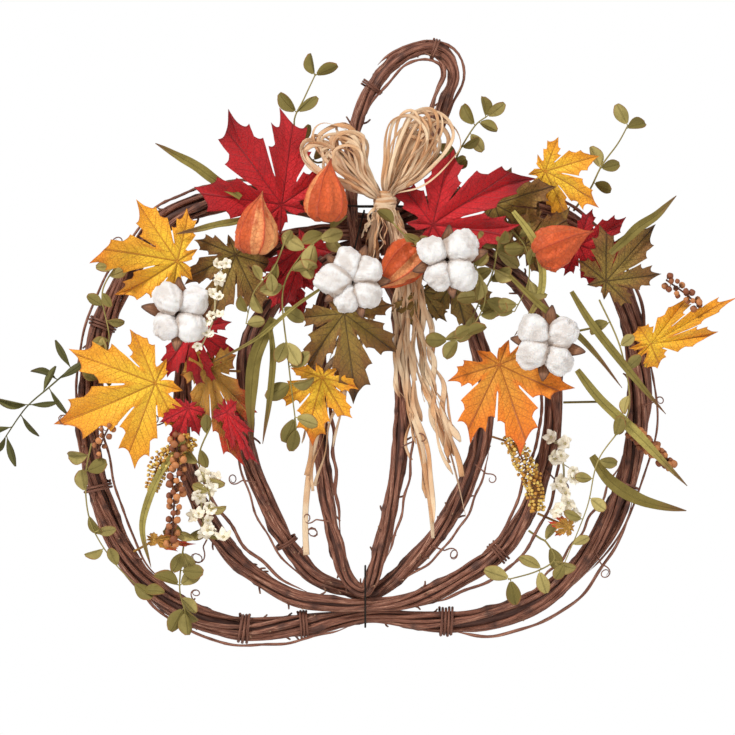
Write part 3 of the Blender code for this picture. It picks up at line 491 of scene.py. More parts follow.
class Finish:
    """A material under construction. node() makes any node; the rest are patterns that finishes share."""

    def __init__(self, name):
        self.material = bpy.data.materials.new(name)
        self.material.use_nodes = True
        self.tree = self.material.node_tree
        self.tree.nodes.clear()
        self.here = self.node("ShaderNodeTexCoord").outputs["Object"]

    def node(self, kind, settings=None, sockets=None):
        """A node of the given type. Its settings are set first, then its sockets' values or links."""
        made = self.tree.nodes.new(kind)
        for name, value in (settings or {}).items():
            setattr(made, name, value)
        for name, value in (sockets or {}).items():
            if isinstance(value, Value):
                value = value.socket
            if isinstance(value, bpy.types.NodeSocket):
                self.tree.links.new(value, made.inputs[name])
            else:
                made.inputs[name].default_value = value
        return made

    def number(self, kind, settings=None, sockets=None, output=0):
        return Value(self, self.node(kind, settings, sockets).outputs[output])

    def read(self, name):
        """A value stored at the surface's points."""
        return self.number("ShaderNodeAttribute", {"attribute_name": name}, output="Fac")

    def uv(self):
        """The piece's own UV map as two numbers."""
        split = self.node("ShaderNodeSeparateXYZ", None, {0: self.node("ShaderNodeUVMap").outputs[0]})
        return Value(self, split.outputs[0]), Value(self, split.outputs[1])

    def vector(self, x, y, z):
        return self.node("ShaderNodeCombineXYZ", None, {0: x, 1: y, 2: z}).outputs[0]

    def noise(self, at, scale, detail=3.0, rough=0.55):
        sockets = {"Vector": at, "Scale": scale, "Detail": detail, "Roughness": rough}
        return self.number("ShaderNodeTexNoise", None, sockets)

    def cell_edges(self, scale):
        """How far it is to the nearest edge between cells strewn through space."""
        settings = {"feature": "DISTANCE_TO_EDGE"}
        return self.number("ShaderNodeTexVoronoi", settings, {"Vector": self.here, "Scale": scale})

    def mix(self, share, first, second):
        """A colour that goes from first to second with share. A colour is a socket or three numbers."""
        colors = {6: first, 7: second}
        colors = {k: c if isinstance(c, bpy.types.NodeSocket) else (*c, 1) for k, c in colors.items()}
        settings = {"data_type": "RGBA", "blend_type": "MIX", "clamp_factor": True}
        return self.node("ShaderNodeMix", settings, {0: share, **colors}).outputs[2]

    def strands(self, along, around, tint, tight, stretch):
        """A place for noise on a tube: round its axis, stretched along it, and apart for each tint."""
        angle = around * (2 * pi)
        return self.vector(angle.cosine() * tight + tint * 37.0, angle.sine() * tight, along * stretch)

    def bump(self, height, distance):
        sockets = {"Height": height, "Distance": distance, "Strength": 1.0}
        return self.node("ShaderNodeBump", None, sockets).outputs[0]

    def surface(self, base, roughness, normal, **fixed):
        """Ends the material in a Principled shader. fixed are values that are the same all over."""
        named = {name.replace("_", " ").title().replace("Ior", "IOR"): value for name, value in fixed.items()}
        sockets = {"Base Color": base, "Roughness": roughness, "Normal": normal}
        shader = self.node("ShaderNodeBsdfPrincipled", None, {**sockets, **named})
        self.node("ShaderNodeOutputMaterial", None, {0: shader.outputs[0]})
        return self.material


def shade(tone, share):
    """The colour with its light multiplied by share."""
    return tuple(min(float(x) * share, 1.0) for x in tone)


# ------------------------ finishes
def bark_finish(vines):
    """Brown bark: fibres stretched along each vine, pale flaking bark with a painted highlight along its
    raised fibres, dark knots, painted shade on each bundle's core, and paler cut ends.
    """
    f = Finish("grapevine_bark")
    along, around = f.uv()
    tint = f.read("tint")
    fibre = f.noise(f.strands(along, around, tint, 1.5, 20.0), 3.2, 5.0, 0.66)
    flake = f.noise(f.strands(along, around, tint, 1.0, 70.0), 2.0, 4.0, 0.6)
    patch = f.noise(f.here, 34.0, 2.0)
    tone = f.mix(fibre.between(0.34, 0.6), vines.bark_dark, vines.bark)
    # Pale flaking bark, partly a painted highlight: the raised fibres turn pale where the flakes are.
    flaked_and_highlit = fibre.between(0.5, 0.64) * flake.between(0.36, 0.58) * (tint * 0.8 + 0.35)
    tone = f.mix(flaked_and_highlit, tone, vines.bark_flake_highlight)
    tone = f.mix(patch.between(0.52, 0.74) * 0.35, tone, vines.bark_dark)
    # The knot value darkens the vines' knots, and at its full value it paints the bundle's core near black as
    # shade.
    tone = f.mix(f.read("knot") * 0.8, tone, shade(vines.bark_dark, 0.5))
    tone = f.mix(f.read("cut"), tone, srgb(0.74, 0.6, 0.46))
    height = fibre + flake * 0.55
    return f.surface(tone, 0.74 - fibre * 0.3, f.bump(height, 0.0006), specular_ior_level=0.45)


def wire_finish(vines):
    """Thin lacquered wire, dull where it has been handled."""
    f = Finish("tying_wire")
    worn = f.noise(f.here, 420.0, 3.0)
    tone = f.mix(worn.between(0.4, 0.66), shade(vines.wire, 0.6), shade(vines.wire, 1.7))
    return f.surface(tone, 0.35 + worn * 0.4, f.bump(worn, 0.0002), metallic=0.6)


def raffia_finish(raffia):
    """Dry straw: long fibres, bleached stretches, and painted shade where the strips crowd into the bow's
    knot.
    """
    f = Finish("raffia_straw")
    along, around = f.uv()
    tint = f.read("tint")
    fibre = f.noise(f.strands(along, around, tint, 4.0, 22.0), 2.6, 4.0, 0.6)
    stretch = f.noise(f.vector(along * 24.0, tint * 19.0, tint * 7.0), 1.0, 2.0)
    tone = f.mix(fibre.between(0.36, 0.64), raffia.straw_dark, raffia.straw)
    tone = f.mix(stretch.between(0.36, 0.62) * 0.85, tone, raffia.straw_pale)
    # Painted shade: the strips darken where they crowd into the bow's knot.
    tone = f.mix(f.read("deep") * 0.75, tone, shade(raffia.straw_dark, 0.55))
    return f.surface(tone, 0.62 + fibre * 0.2, f.bump(fibre, 0.0005), sheen_weight=0.15)


def leaf_finish(name, leaves, middle, edge, tip, vein, blotch, mottle=0.5, tip_from=0.66):
    """Printed leaf cloth: its colour runs from the middle to the edge and on to the tips, with moulded
    main veins, side veins in a herringbone off them, a net of fine veins and a woven grain."""
    f = Finish(name)
    along, across = f.uv()
    reach, out = f.read("reach"), f.read("out")
    patch, fine = f.noise(f.here, 46.0, 4.0, 0.6), f.noise(f.here, 210.0, 3.0)
    beside = abs(across)
    main = 1 - beside.between(0.0002, 0.0011)
    slant = ((along - beside * 1.15) / leaves.vein_spacing + f.read("tint") * 5.0).part()
    side = (1 - abs(slant - 0.5).between(0.0, 0.075)) * (1 - reach.between(0.8, 0.99))
    net = 1 - f.cell_edges(330.0).between(0.0, 0.12)
    veins = main.most(side * 0.38)
    tone = f.mix((reach + patch * 0.5 - 0.25).between(0.3, 0.98), middle, edge)
    tone = f.mix((out + patch * 0.7 - 0.35).between(tip_from, tip_from + 0.32), tone, tip)
    tone = f.mix(patch.between(0.52, 0.7) * mottle, tone, blotch)
    tone = f.mix((fine - 0.35) * 0.6, tone, shade(edge, 0.58))
    tone = f.mix(net * 0.22, tone, vein)
    tone = f.mix(veins * 0.75, tone, vein)
    tone = f.mix(reach.between(0.965, 1.0) * 0.55, tone, shade(tip, 0.6))
    weave = f.noise(f.here, 1500.0, 1.0)
    height = veins * 0.9 + net * 0.25 + fine * 0.35 + weave * 0.12
    return f.surface(tone, 0.48 + fine * 0.3, f.bump(height, 0.0013), sheen_weight=0.12,
                     specular_ior_level=0.35)


def cotton_finish(dressing):
    """Cotton fibre: near white, with warm painted shade in its creases and where its locks meet, and tangled
    fuzz.
    """
    f = Finish("cotton_fibre")
    fuzz, tangle = f.noise(f.here, 700.0, 4.0, 0.7), f.noise(f.here, 190.0, 4.0, 0.6)
    # The crease value is painted shade: warm beige in the hollows of the locks, where they meet and towards
    # the boll's middle.
    tone = f.mix(f.read("crease"), dressing.cotton, srgb(0.72, 0.62, 0.54))
    tone = f.mix(tangle.between(0.55, 0.75) * 0.35, tone, srgb(0.9, 0.86, 0.82))
    height = fuzz * 0.6 + tangle
    return f.surface(tone, 0.95, f.bump(height, 0.0016), sheen_weight=0.6, sheen_roughness=0.6,
                     subsurface_weight=0.25, subsurface_radius=(0.006, 0.005, 0.004), subsurface_scale=1.0)


def husk_finish(dressing):
    """A dried boll husk: tan and ribbed, dark along its edges and at its point."""
    f = Finish("boll_husk")
    along, across = f.uv()
    grain = f.noise(f.vector(along * 1.5, across * 9.0, f.read("tint") * 9.0), 3.0, 4.0)
    tone = f.mix(grain.between(0.35, 0.68), shade(dressing.husk, 0.55), shade(dressing.husk, 1.25))
    tone = f.mix(f.read("edge") * 0.85, tone, srgb(0.24, 0.12, 0.08))
    return f.surface(tone, 0.62, f.bump(grain, 0.0007))


def lantern_finish(dressing):
    """Papery husk: orange red ribs, pale panels that are a painted highlight, and a net of veins."""
    f = Finish("lantern_paper")
    rib, tint = f.read("rib"), f.read("tint")
    patch, fine = f.noise(f.here, 60.0, 4.0, 0.6), f.noise(f.here, 260.0, 3.0)
    net = 1 - f.cell_edges(240.0).between(0.0, 0.1)
    tone = f.mix(patch.between(0.32, 0.7), shade(dressing.lantern, 0.78), shade(dressing.lantern, 1.08))
    # Painted highlight: pale peach laid on some panels of each pod, standing in for light on them.
    tone = f.mix((1 - rib) * tint.between(0.45, 1.0) * patch.between(0.28, 0.52), tone, dressing.lantern_highlight)
    tone = f.mix(rib.between(0.55, 0.97) * 0.65, tone, srgb(0.72, 0.2, 0.09))
    tone = f.mix(f.read("end") * 0.8, tone, srgb(0.62, 0.26, 0.1))
    tone = f.mix(net * 0.28, tone, srgb(0.68, 0.24, 0.08))
    height = rib + net * 0.35 + fine * 0.5
    return f.surface(tone, 0.48 + fine * 0.3, f.bump(height, 0.0008), sheen_weight=0.1, subsurface_weight=0.1,
                     subsurface_radius=(0.004, 0.002, 0.001), subsurface_scale=1.0)


def greenery_finish(name, base, pale, tip, speckle=0.3):
    """Moulded leaves and stems: a tone for each leaf, a darker middle vein, and dried tips and edges."""
    f = Finish(name)
    _, across = f.uv()
    tint, out = f.read("tint"), f.read("out")
    patch, fine = f.noise(f.here, 95.0, 3.0), f.noise(f.here, 520.0, 3.0)
    tone = f.mix((tint + patch * 0.6 - 0.3).between(0.15, 0.85), shade(base, 0.72), pale)
    tone = f.mix((out + patch * 0.6 - 0.3).between(0.55, 1.0), tone, tip)
    vein = (1 - abs(across - 0.5).between(0.01, 0.09)) * f.read("blade")
    tone = f.mix(vein * 0.4, tone, shade(base, 0.6))
    tone = f.mix(fine.between(0.52, 0.72) * speckle, tone, shade(base, 0.45))
    height = vein + fine * 0.4 + patch * 0.3
    return f.surface(tone, 0.5 + patch * 0.3, f.bump(height, 0.0005), specular_ior_level=0.25)


def bead_finish(name, base, deep, light, bumps, sheen=0.0):
    """Beads, seeds and petals: a tone for each, darker at its foot, with a finely pebbled skin."""
    f = Finish(name)
    fine, patch = f.noise(f.here, bumps, 3.0), f.noise(f.here, 130.0, 2.0)
    tone = f.mix((f.read("tint") + patch * 0.5 - 0.25).between(0.1, 0.9), base, light)
    tone = f.mix(f.read("deep").between(0.1, 1.0) * 0.85, tone, deep)
    tone = f.mix(fine.between(0.55, 0.75) * 0.3, tone, shade(deep, 0.9))
    return f.surface(tone, 0.38 + fine * 0.35, f.bump(fine, 0.0004), sheen_weight=sheen)


# ------------------------ the hoops' lines
# Shares of each hoop's half width and of the pumpkin's height, once round from the dip by the left side,
# as the CAD bundles run. None is the bottom lashing.
OUTER_OUTLINE = [
    (-0.23, 0.04), (-0.43, 0.064), (-0.59, 0.045), (-0.75, -0.01), (-0.86, -0.125), (-0.955, -0.265),
    (-1.0, -0.42), (-1.0, -0.57), (-0.94, -0.74), (-0.83, -0.885), (-0.66, -0.985), (-0.46, -1.03),
    (-0.24, -1.022), None, (0.22, -1.012), (0.43, -1.005), (0.64, -0.95), (0.81, -0.83), (0.92, -0.68),
    (0.975, -0.515), (0.975, -0.355), (0.92, -0.19), (0.81, -0.055), (0.64, 0.03), (0.43, 0.062),
    (0.22, 0.04),
]
MIDDLE_OUTLINE = [
    (-0.26, -0.03), (-0.55, -0.072), (-0.79, -0.165), (-0.94, -0.3), (-1.0, -0.465), (-0.98, -0.6),
    (-0.89, -0.725), (-0.69, -0.86), (-0.42, -0.945), (-0.18, -0.967), None, (0.25, -0.955),
    (0.49, -0.905), (0.73, -0.825), (0.89, -0.7), (0.98, -0.555), (1.0, -0.415), (0.96, -0.265),
    (0.83, -0.16), (0.59, -0.072), (0.27, -0.03),
]
INNER_OUTLINE = [
    (-0.26, -0.082), (-0.58, -0.142), (-0.84, -0.232), (-0.98, -0.325), (-1.0, -0.47), (-0.97, -0.585),
    (-0.85, -0.69), (-0.73, -0.775), (-0.57, -0.852), (-0.4, -0.905), (-0.2, -0.93), None, (0.16, -0.918),
    (0.37, -0.86), (0.58, -0.785), (0.78, -0.68), (0.93, -0.56), (0.98, -0.445), (0.92, -0.33),
    (0.8, -0.225), (0.56, -0.14), (0.26, -0.082),
]
CENTER_OUTLINE = [
    (-0.42, -0.122), (-0.83, -0.172), (-1.05, -0.26), (-1.08, -0.37), (-1.02, -0.56), (-0.9, -0.69),
    (-0.72, -0.79), (-0.48, -0.88), (-0.31, -0.914), None, (0.16, -0.914), (0.33, -0.865), (0.62, -0.745),
    (0.86, -0.61), (0.95, -0.46), (0.93, -0.3), (0.84, -0.2), (0.5, -0.13),
]
# The stem: (share of its width right of the left leg, share of its height above the dip, share of the way
# back).
STEM_OUTLINE = [
    (0.06, -0.13, 0.0), (0.02, 0.03, 0.0), (0.0, 0.21, 0.35), (0.0, 0.42, 0.8), (0.1, 0.61, 1.0),
    (0.25, 0.745, 1.0), (0.46, 0.855, 1.0), (0.72, 0.905, 1.0), (0.93, 0.865, 1.0), (1.0, 0.765, 1.0),
    (0.93, 0.655, 1.0), (0.83, 0.53, 0.9), (0.69, 0.4, 0.7), (0.51, 0.245, 0.35), (0.37, 0.08, 0.0),
    (0.34, -0.13, 0.0),
]


def nest(start, steps):
    """Centres (y, z, radius) of touching bundles, each from (which earlier centre, radius, degrees)."""
    centres = [start]
    for source, radius, degrees in steps:
        y, z, other = centres[source]
        reach = other + radius + GAP
        centres.append((y + reach * cos(radians(degrees)), z + reach * sin(radians(degrees)), radius))
    return centres


TOP_NEST = nest((0.0, TOP_WAIST, TOP_WAIST), [(0, WAIST, -128), (1, WAIST, -44), (2, WAIST, -136)])
BOTTOM_NEST = nest((0.0, TOP_WAIST - PUMPKIN_HEIGHT, WAIST),
                   [(0, WAIST, 128), (1, WAIST, 41), (1, WAIST, 103)])


def hoop_line(outline, width, full, index, bulge, pinch=PINCH, shift=0.0):
    """The hoop's closed centreline, and the bundle's radius along it, drawn in near the lashings."""
    (top_y, top_z, top_waist), (low_y, low_z, low_waist) = TOP_NEST[index], BOTTOM_NEST[index]
    points = [(shift * 0.5, top_y, top_z)]
    for spot_on in outline:
        if spot_on is None:
            points.append((shift, low_y, low_z))
            continue
        z = TOP_WAIST + spot_on[1] * PUMPKIN_HEIGHT
        down = float(np.clip((top_z - z) / (top_z - low_z), 0, 1))
        y = top_y + (low_y - top_y) * float(ease(down)) - bulge * sin(pi * down)
        points.append((spot_on[0] * width / 2 + shift, y, z))
    line = spline(points, 10, closed=True)
    near_top = ease(np.hypot(line[:, 0], line[:, 2] - top_z) / pinch)
    near_low = ease(np.hypot(line[:, 0], line[:, 2] - low_z) / pinch)
    radius = np.minimum(top_waist + (full - top_waist) * near_top, low_waist + (full - low_waist) * near_low)
    return line, radius


def stem_line():
    front = TOP_NEST[1][0] - WAIST - GAP - WAIST
    points = [(STEM_LEFT + across * STEM_WIDTH, front + back * STEM_SETBACK, up * STEM_HEIGHT)
              for across, up, back in STEM_OUTLINE]
    line = spline(points, 10)
    return line, WAIST + (STEM_BUNDLE - WAIST) * ease((line[:, 2] + 0.01) / PINCH)


BUNDLES = {
    "outer_hoop": hoop_line(OUTER_OUTLINE, OUTER_WIDTH, OUTER_BUNDLE, 0, 0.0),
    "middle_hoop": hoop_line(MIDDLE_OUTLINE, MIDDLE_WIDTH, MIDDLE_BUNDLE, 1, RIB_BULGE * 0.5),
    "inner_hoop": hoop_line(INNER_OUTLINE, INNER_WIDTH, INNER_BUNDLE, 2, RIB_BULGE * 1.5),
    "center_hoop": hoop_line(CENTER_OUTLINE, CENTER_WIDTH, CENTER_BUNDLE, 3, RIB_BULGE, PINCH * 0.7,
                             CENTER_SHIFT),
    "stem_loop": stem_line(),
}


def spot(across, down, ahead):
    """A place on the pumpkin: shares of its half width and height, and how far ahead of the vines."""
    front = TOP_NEST[1][0] - MIDDLE_BUNDLE
    return np.array([across * OUTER_WIDTH / 2, front - ahead, TOP_WAIST - down * PUMPKIN_HEIGHT])


def root_on_vine(start, aim, reach):
    """Where a wire of radius reach meets the vine: just off the nearest bundle, on its side near start."""
    start = start + np.array([aim[0], 0, aim[1]])
    points = np.concatenate([line for line, _ in BUNDLES.values()])
    radii = np.concatenate([radius for _, radius in BUNDLES.values()])
    nearest = np.argmin(np.linalg.norm(points - start, axis=1) - radii)
    way = start - points[nearest]
    way[1] = min(way[1], -0.012)
    return points[nearest] + unit(way) * (radii[nearest] + reach + GAP * 2)


def stalk_line(start, aim, reach):
    """A wire's line from start back to the vine. A third value in aim is how far across its bend lies."""
    root = root_on_vine(start, aim, reach)
    across_first = len(aim) > 2
    bend = start + (root - start) * (aim[2] if across_first else 0.2)
    bend[1] = start[1] + (root[1] - start[1]) * (0.3 if across_first else 0.7)
    return spline([start, bend, root], 4)


# ------------------------ vines
# The vines in each bundle, and the cut spurs on it.
BUNDLE_VINES = {"outer_hoop": (9, 70), "middle_hoop": (8, 46), "inner_hoop": (7, 38), "center_hoop": (6, 30),
                "stem_loop": (6, 28)}


def strand(surface, rng, line, radius, closed, phase, turns, thick, sides, knots):
    """One vine of a bundle: a helix that keeps near the bundle's skin, wanders, and swells at its knots."""
    share = np.linspace(0, 1, len(line), endpoint=not closed)
    own = thick * (radius / radius.max()) ** 0.75 * (1 + 0.1 * waver(rng, share, 3, 17))
    bulges = np.zeros(len(line))
    for at in rng.uniform(0, 1, knots):
        gap = np.abs(share - at)
        gap = np.minimum(gap, 1 - gap) if closed else gap
        bulges += np.exp(-((gap * len(line) / 0.9) ** 2))
    angle = phase + 2 * pi * turns * share + 0.26 * waver(rng, share, 2, 9)
    _, side, up = frames(line, closed)
    off = (radius * 0.93 - own) * (1 + 0.1 * waver(rng, share, 2, 12)) + 0.0005 * waver(rng, share, 9, 30)
    path = line + off[:, None] * (np.cos(angle)[:, None] * side + np.sin(angle)[:, None] * up)
    around = np.linspace(0, 2 * pi, sides, endpoint=False)
    rough = 0.09 * np.sin(around * 2 + 7 * waver(rng, share, 2, 6)[:, None])
    rough = rough + rng.normal(0, 0.022, (len(line), sides))
    tube(surface, path, own * (1 + 0.42 * bulges), sides, closed, rough=rough, tint=rng.uniform(0, 1),
         knot=np.clip(bulges, 0, 1), cut=0.0)
    return path, own


def shaded_bundle_core(surface, line, radius, closed):
    """The inside of a bundle, which shows between its vines, painted near black as shade."""
    # The full knot value paints the core near black, as painted shade between the vines.
    tube(surface, line, radius * CORE_SHARE, 10, closed, tint=0.0, knot=1.0, cut=0.0)


def spur(surface, rng, root, way, size):
    """A short cut side shoot: a tapered stub that leans along its way and ends in a pale cut."""
    bend = root + way * size * 0.5 + rng.normal(0, 0.08, 3) * size
    line = spline([root - way * 0.001, bend, root + way * size], 3)
    radius = np.linspace(0.0011, 0.00075, len(line))
    cut = np.linspace(0, 1, len(line)) ** 6 * 0.6
    tube(surface, line, radius, 6, tint=rng.uniform(0, 1), knot=0.4, cut=cut)


def bundle_at(name, step):
    """A bundle's centreline with a point every step, their shares of the way and radii, and if it closes."""
    line, radius = BUNDLES[name]
    closed = name != "stem_loop"
    return (*resample(line, step, closed, radius), closed)


def bundle_piece(context, name, count, spurs, seed):
    """A wound bundle of vines along a hoop's line, with cut spurs along it."""
    vines = context.scene.wreath_vines
    rng = np.random.default_rng(seed)
    surface = Surface()
    line, _, radius, closed = bundle_at(name, vines.point_step)
    radius = radius * (1.0 if closed else SLIM_STEM)
    whole = len(line) * vines.point_step
    turns = max(round(whole / vines.twist_length), 1)
    knots = int(whole / KNOT_SPACING)
    skin = []
    for k in range(count):
        phase = 2 * pi * k / count + rng.uniform(-0.25, 0.25)
        thick = vines.strand_radius * rng.uniform(0.8, 1.16) * (0.92 if name == "center_hoop" else 1.0)
        skin.append(strand(surface, rng, line, radius, closed, phase, turns, thick, vines.sides, knots))
    shaded_bundle_core(surface, line, radius, closed)
    for _ in range(spurs):
        path, own = skin[rng.integers(len(skin))]
        at = rng.integers(4, len(path) - 4)
        ahead = unit(path[at + 1] - path[at])
        out = unit(path[at] - line[at])
        root = path[at] + out * own[at] * 0.6
        spur(surface, rng, root, unit(out + ahead * rng.uniform(0.5, 1.3)), rng.uniform(0.004, 0.0085))
    piece = surface.build(name + "_vines", "grapevine_bark")
    return place(piece, "vine", name)


# Vines that leave a bundle for a stretch: (bundle, where it starts and ends as shares round, how far out,
# forward).
STRAYS = [
    ("outer_hoop", 0.555, 0.7, 0.0104, 0.004), ("outer_hoop", 0.6, 0.72, -0.0097, 0.006),
    ("outer_hoop", 0.645, 0.8, 0.0072, -0.006), ("outer_hoop", 0.36, 0.5, 0.0059, 0.008),
    ("outer_hoop", 0.22, 0.38, -0.0078, 0.004), ("outer_hoop", 0.12, 0.27, 0.0059, 0.007),
    ("outer_hoop", 0.78, 0.92, 0.0059, 0.004), ("outer_hoop", 0.04, 0.16, 0.0065, 0.004),
    ("middle_hoop", 0.28, 0.45, -0.0078, 0.006), ("middle_hoop", 0.55, 0.74, 0.0091, 0.006),
    ("middle_hoop", 0.6, 0.8, -0.0065, 0.004), ("inner_hoop", 0.55, 0.72, 0.0065, 0.008),
    ("inner_hoop", 0.27, 0.45, 0.0052, 0.006), ("center_hoop", 0.18, 0.42, -0.0052, 0.004),
    ("center_hoop", 0.56, 0.8, 0.0065, 0.006), ("stem_loop", 0.3, 0.8, -0.0039, 0.004),
    ("stem_loop", 0.4, 0.74, 0.002, -0.006), ("stem_loop", 0.52, 0.86, -0.0033, 0.01),
]
# Places where a thin vine is wound round a bundle: (bundle, share round, turns, its radius).
WRAPS = [
    ("outer_hoop", 0.432, 3, 0.0014), ("outer_hoop", 0.468, 3, 0.0012), ("outer_hoop", 0.555, 4, 0.0013),
    ("outer_hoop", 0.3, 2, 0.0013), ("outer_hoop", 0.7, 3, 0.0012), ("outer_hoop", 0.2, 3, 0.0012),
    ("stem_loop", 0.52, 2, 0.0011), ("stem_loop", 0.36, 2, 0.0011), ("middle_hoop", 0.62, 3, 0.0012),
    ("inner_hoop", 0.4, 2, 0.0011),
]
# Curly tendrils: (bundle, share round, how long, how many coils, degrees from straight out).
TENDRILS = [
    ("outer_hoop", 0.165, 0.045, 1.5, 40), ("outer_hoop", 0.245, 0.05, 2.0, -50),
    ("outer_hoop", 0.295, 0.036, 1.0, 70), ("outer_hoop", 0.4, 0.034, 1.5, 170),
    ("middle_hoop", 0.26, 0.04, 1.5, 20), ("middle_hoop", 0.35, 0.05, 2.0, -30),
    ("middle_hoop", 0.7, 0.042, 1.5, 30), ("inner_hoop", 0.33, 0.038, 1.5, 30),
    ("inner_hoop", 0.42, 0.045, 2.5, 160), ("inner_hoop", 0.6, 0.04, 2.0, -20),
    ("inner_hoop", 0.7, 0.034, 1.0, 20), ("center_hoop", 0.4, 0.036, 2.0, 20),
    ("center_hoop", 0.72, 0.036, 1.5, -30), ("stem_loop", 0.84, 0.024, 1.0, 20),
    ("outer_hoop", 0.66, 0.04, 1.5, 30), ("outer_hoop", 0.75, 0.03, 1.0, -20),
]


def outward(line, closed):
    """At each point of a hoop, the direction in the hoop's plane that leads away from its middle."""
    ahead = tangents(line, closed)
    out = unit(np.cross(ahead, [0.0, 1.0, 0.0]))
    away = ((line - line.mean(0)) * out).sum(1, keepdims=True)
    return out * np.sign(away.sum())


def stray_vine(surface, rng, row, step):
    """A vine that leaves its bundle for a stretch, furthest out and forward half way along it."""
    name, start, end, out, ahead = row
    line, share, radius, closed = bundle_at(name, step)
    kept = (share >= start) & (share <= end)
    t = (share[kept] - start) / (end - start)
    lift = np.sin(pi * t) ** 0.8
    off = np.sign(out) * radius[kept] * 0.75 + out * lift + 0.001 * waver(rng, t, 1, 5)
    path = line[kept] + off[:, None] * outward(line, closed)[kept]
    path[:, 1] -= radius[kept] * 0.5 + ahead * lift + 0.0015 * waver(rng, t, 1, 5)
    thick = rng.uniform(0.001, 0.0017) * (1 + 0.12 * waver(rng, t, 4, 20))
    tube(surface, path, thick, 7, pointed=True, tint=rng.uniform(0, 1), knot=0.0, cut=0.0)


def wrap_vine(surface, rng, row):
    """A thin vine wound round a bundle: a helix about a short stretch of the bundle's centreline."""
    name, at, turns, thin = row
    line, _, radius, _ = bundle_at(name, WRAP_STEP)
    middle = int(at * len(line))
    half = int(turns * thin * 2.6 / WRAP_STEP) // 2
    kept = line[middle - half:middle + half + 1]
    _, side, up = frames(kept)
    given = np.linspace(0, 1, len(kept))
    t = np.linspace(0, 1, turns * 22)
    angle = np.linspace(0, 2 * pi * turns, turns * 22)
    centre, side, up = (np.stack([np.interp(t, given, x[:, k]) for k in range(3)], 1)
                        for x in (kept, side, up))
    reach = (radius[middle] + thin * 0.9) * (1 + 0.05 * waver(rng, t, 2, 7))
    path = centre + reach[:, None] * (np.cos(angle)[:, None] * side + np.sin(angle)[:, None] * up)
    tube(surface, path, thin, 6, tint=rng.uniform(0, 0.5), knot=0.3, cut=0.0)


def tendril(surface, rng, row):
    """A curly tendril: it leaves its bundle straight, then winds into coils that tighten towards its tip."""
    name, at, size, coils, turn = row
    line, _, radius, closed = bundle_at(name, 0.004)
    middle = int(at * len(line))
    way = facing(turn) @ outward(line, closed)[middle]
    across = np.cross(way, [0.0, 1.0, 0.0])
    t = np.linspace(0, 1, 44)
    curl = ease((t - 0.35) / 0.65)
    angle = 2 * pi * coils * curl
    tight = size * 0.16 * (1 - 0.55 * t)
    path = (line[middle] + (size * (t - 0.45 * curl * t))[:, None] * way
            + (tight * np.sin(angle))[:, None] * across
            + (tight * (1 - np.cos(angle)) * 0.8)[:, None] * way)
    path[:, 1] -= radius[middle] * 0.9 + 0.006 * t + 0.004 * np.sin(angle * 0.5)
    radius = TENDRIL_RADIUS * (1 - 0.55 * t)
    tube(surface, path, radius, 6, pointed=True, tint=rng.uniform(0, 1), knot=0.0, cut=0.0)


def loose_vines(context):
    """Stray vines beside the bundles, thin wraps round them, and curly tendrils."""
    rng = np.random.default_rng(31)
    surface = Surface()
    for row in STRAYS:
        stray_vine(surface, rng, row, context.scene.wreath_vines.point_step)
    for row in WRAPS:
        wrap_vine(surface, rng, row)
    for row in TENDRILS:
        tendril(surface, rng, row)
    piece = surface.build("loose_vines", "grapevine_bark")
    return place(piece, "vine")


# ------------------------ raffia
KNOT = np.array([spot(0.062, 0, 0)[0], TOP_NEST[1][0] - 3 * WAIST - GAP * 4 - LASH_WIRE * 2 - KNOT_DEPTH,
                 spot(0, -0.047, 0)[2]])
LOOP_AHEAD = 0.01
# Each loop's route: (metres right of the knot, metres above it).
LOOPS = {
    "raffia_loop_left": [
        (-0.006, 0.002), (-0.012, 0.007), (-0.034, 0.021), (-0.056, 0.038), (-0.062, 0.056),
        (-0.048, 0.066), (-0.031, 0.062), (-0.026, 0.048), (-0.022, 0.03), (-0.0085, 0.0125),
        (-0.002, 0.003)],
    "raffia_loop_right": [
        (0.001, 0.004), (0.0, 0.0145), (0.006, 0.036), (0.012, 0.06), (0.024, 0.077), (0.044, 0.075),
        (0.056, 0.058), (0.05, 0.04), (0.032, 0.02), (0.0115, 0.0095), (0.005, 0.002)],
}
# Each tail's route: (metres right of the knot, metres ahead of the knot's middle, metres below it).
TAILS = {
    "raffia_tail_right": [
        (0.01, -0.001, 0.0105), (0.014, -0.006, 0.022), (0.018, -0.01, 0.04), (0.025, -0.01, 0.07),
        (0.03, -0.01, 0.105), (0.036, -0.01, 0.14), (0.046, -0.01, 0.18), (0.056, -0.01, 0.215),
        (0.064, -0.01, 0.245), (0.072, -0.009, 0.28)],
    "raffia_tail_middle": [
        (0.002, -0.001, 0.0115), (0.006, -0.004, 0.024), (0.011, -0.009, 0.045), (0.015, -0.01, 0.075),
        (0.017, -0.01, 0.11), (0.02, -0.01, 0.15), (0.026, -0.01, 0.19), (0.034, -0.01, 0.23),
        (0.04, -0.01, 0.265), (0.043, -0.01, 0.3)],
    "raffia_tail_left": [
        (-0.009, -0.001, 0.0105), (-0.01, -0.004, 0.022), (-0.013, -0.009, 0.048),
        (-0.017, -0.01, 0.08), (-0.028, -0.01, 0.12), (-0.044, -0.01, 0.16), (-0.058, -0.01, 0.2),
        (-0.067, -0.01, 0.24), (-0.071, -0.01, 0.28), (-0.07, -0.01, 0.315)],
}
# Strips that hang beside a tail: (how many, how far to the sides they stray, shortest and longest share
# of it).
BESIDE = {"raffia_tail_right": (13, 0.013, 0.62, 0.99), "raffia_tail_middle": (11, 0.013, 0.5, 0.98),
          "raffia_tail_left": (8, 0.018, 0.5, 0.98)}


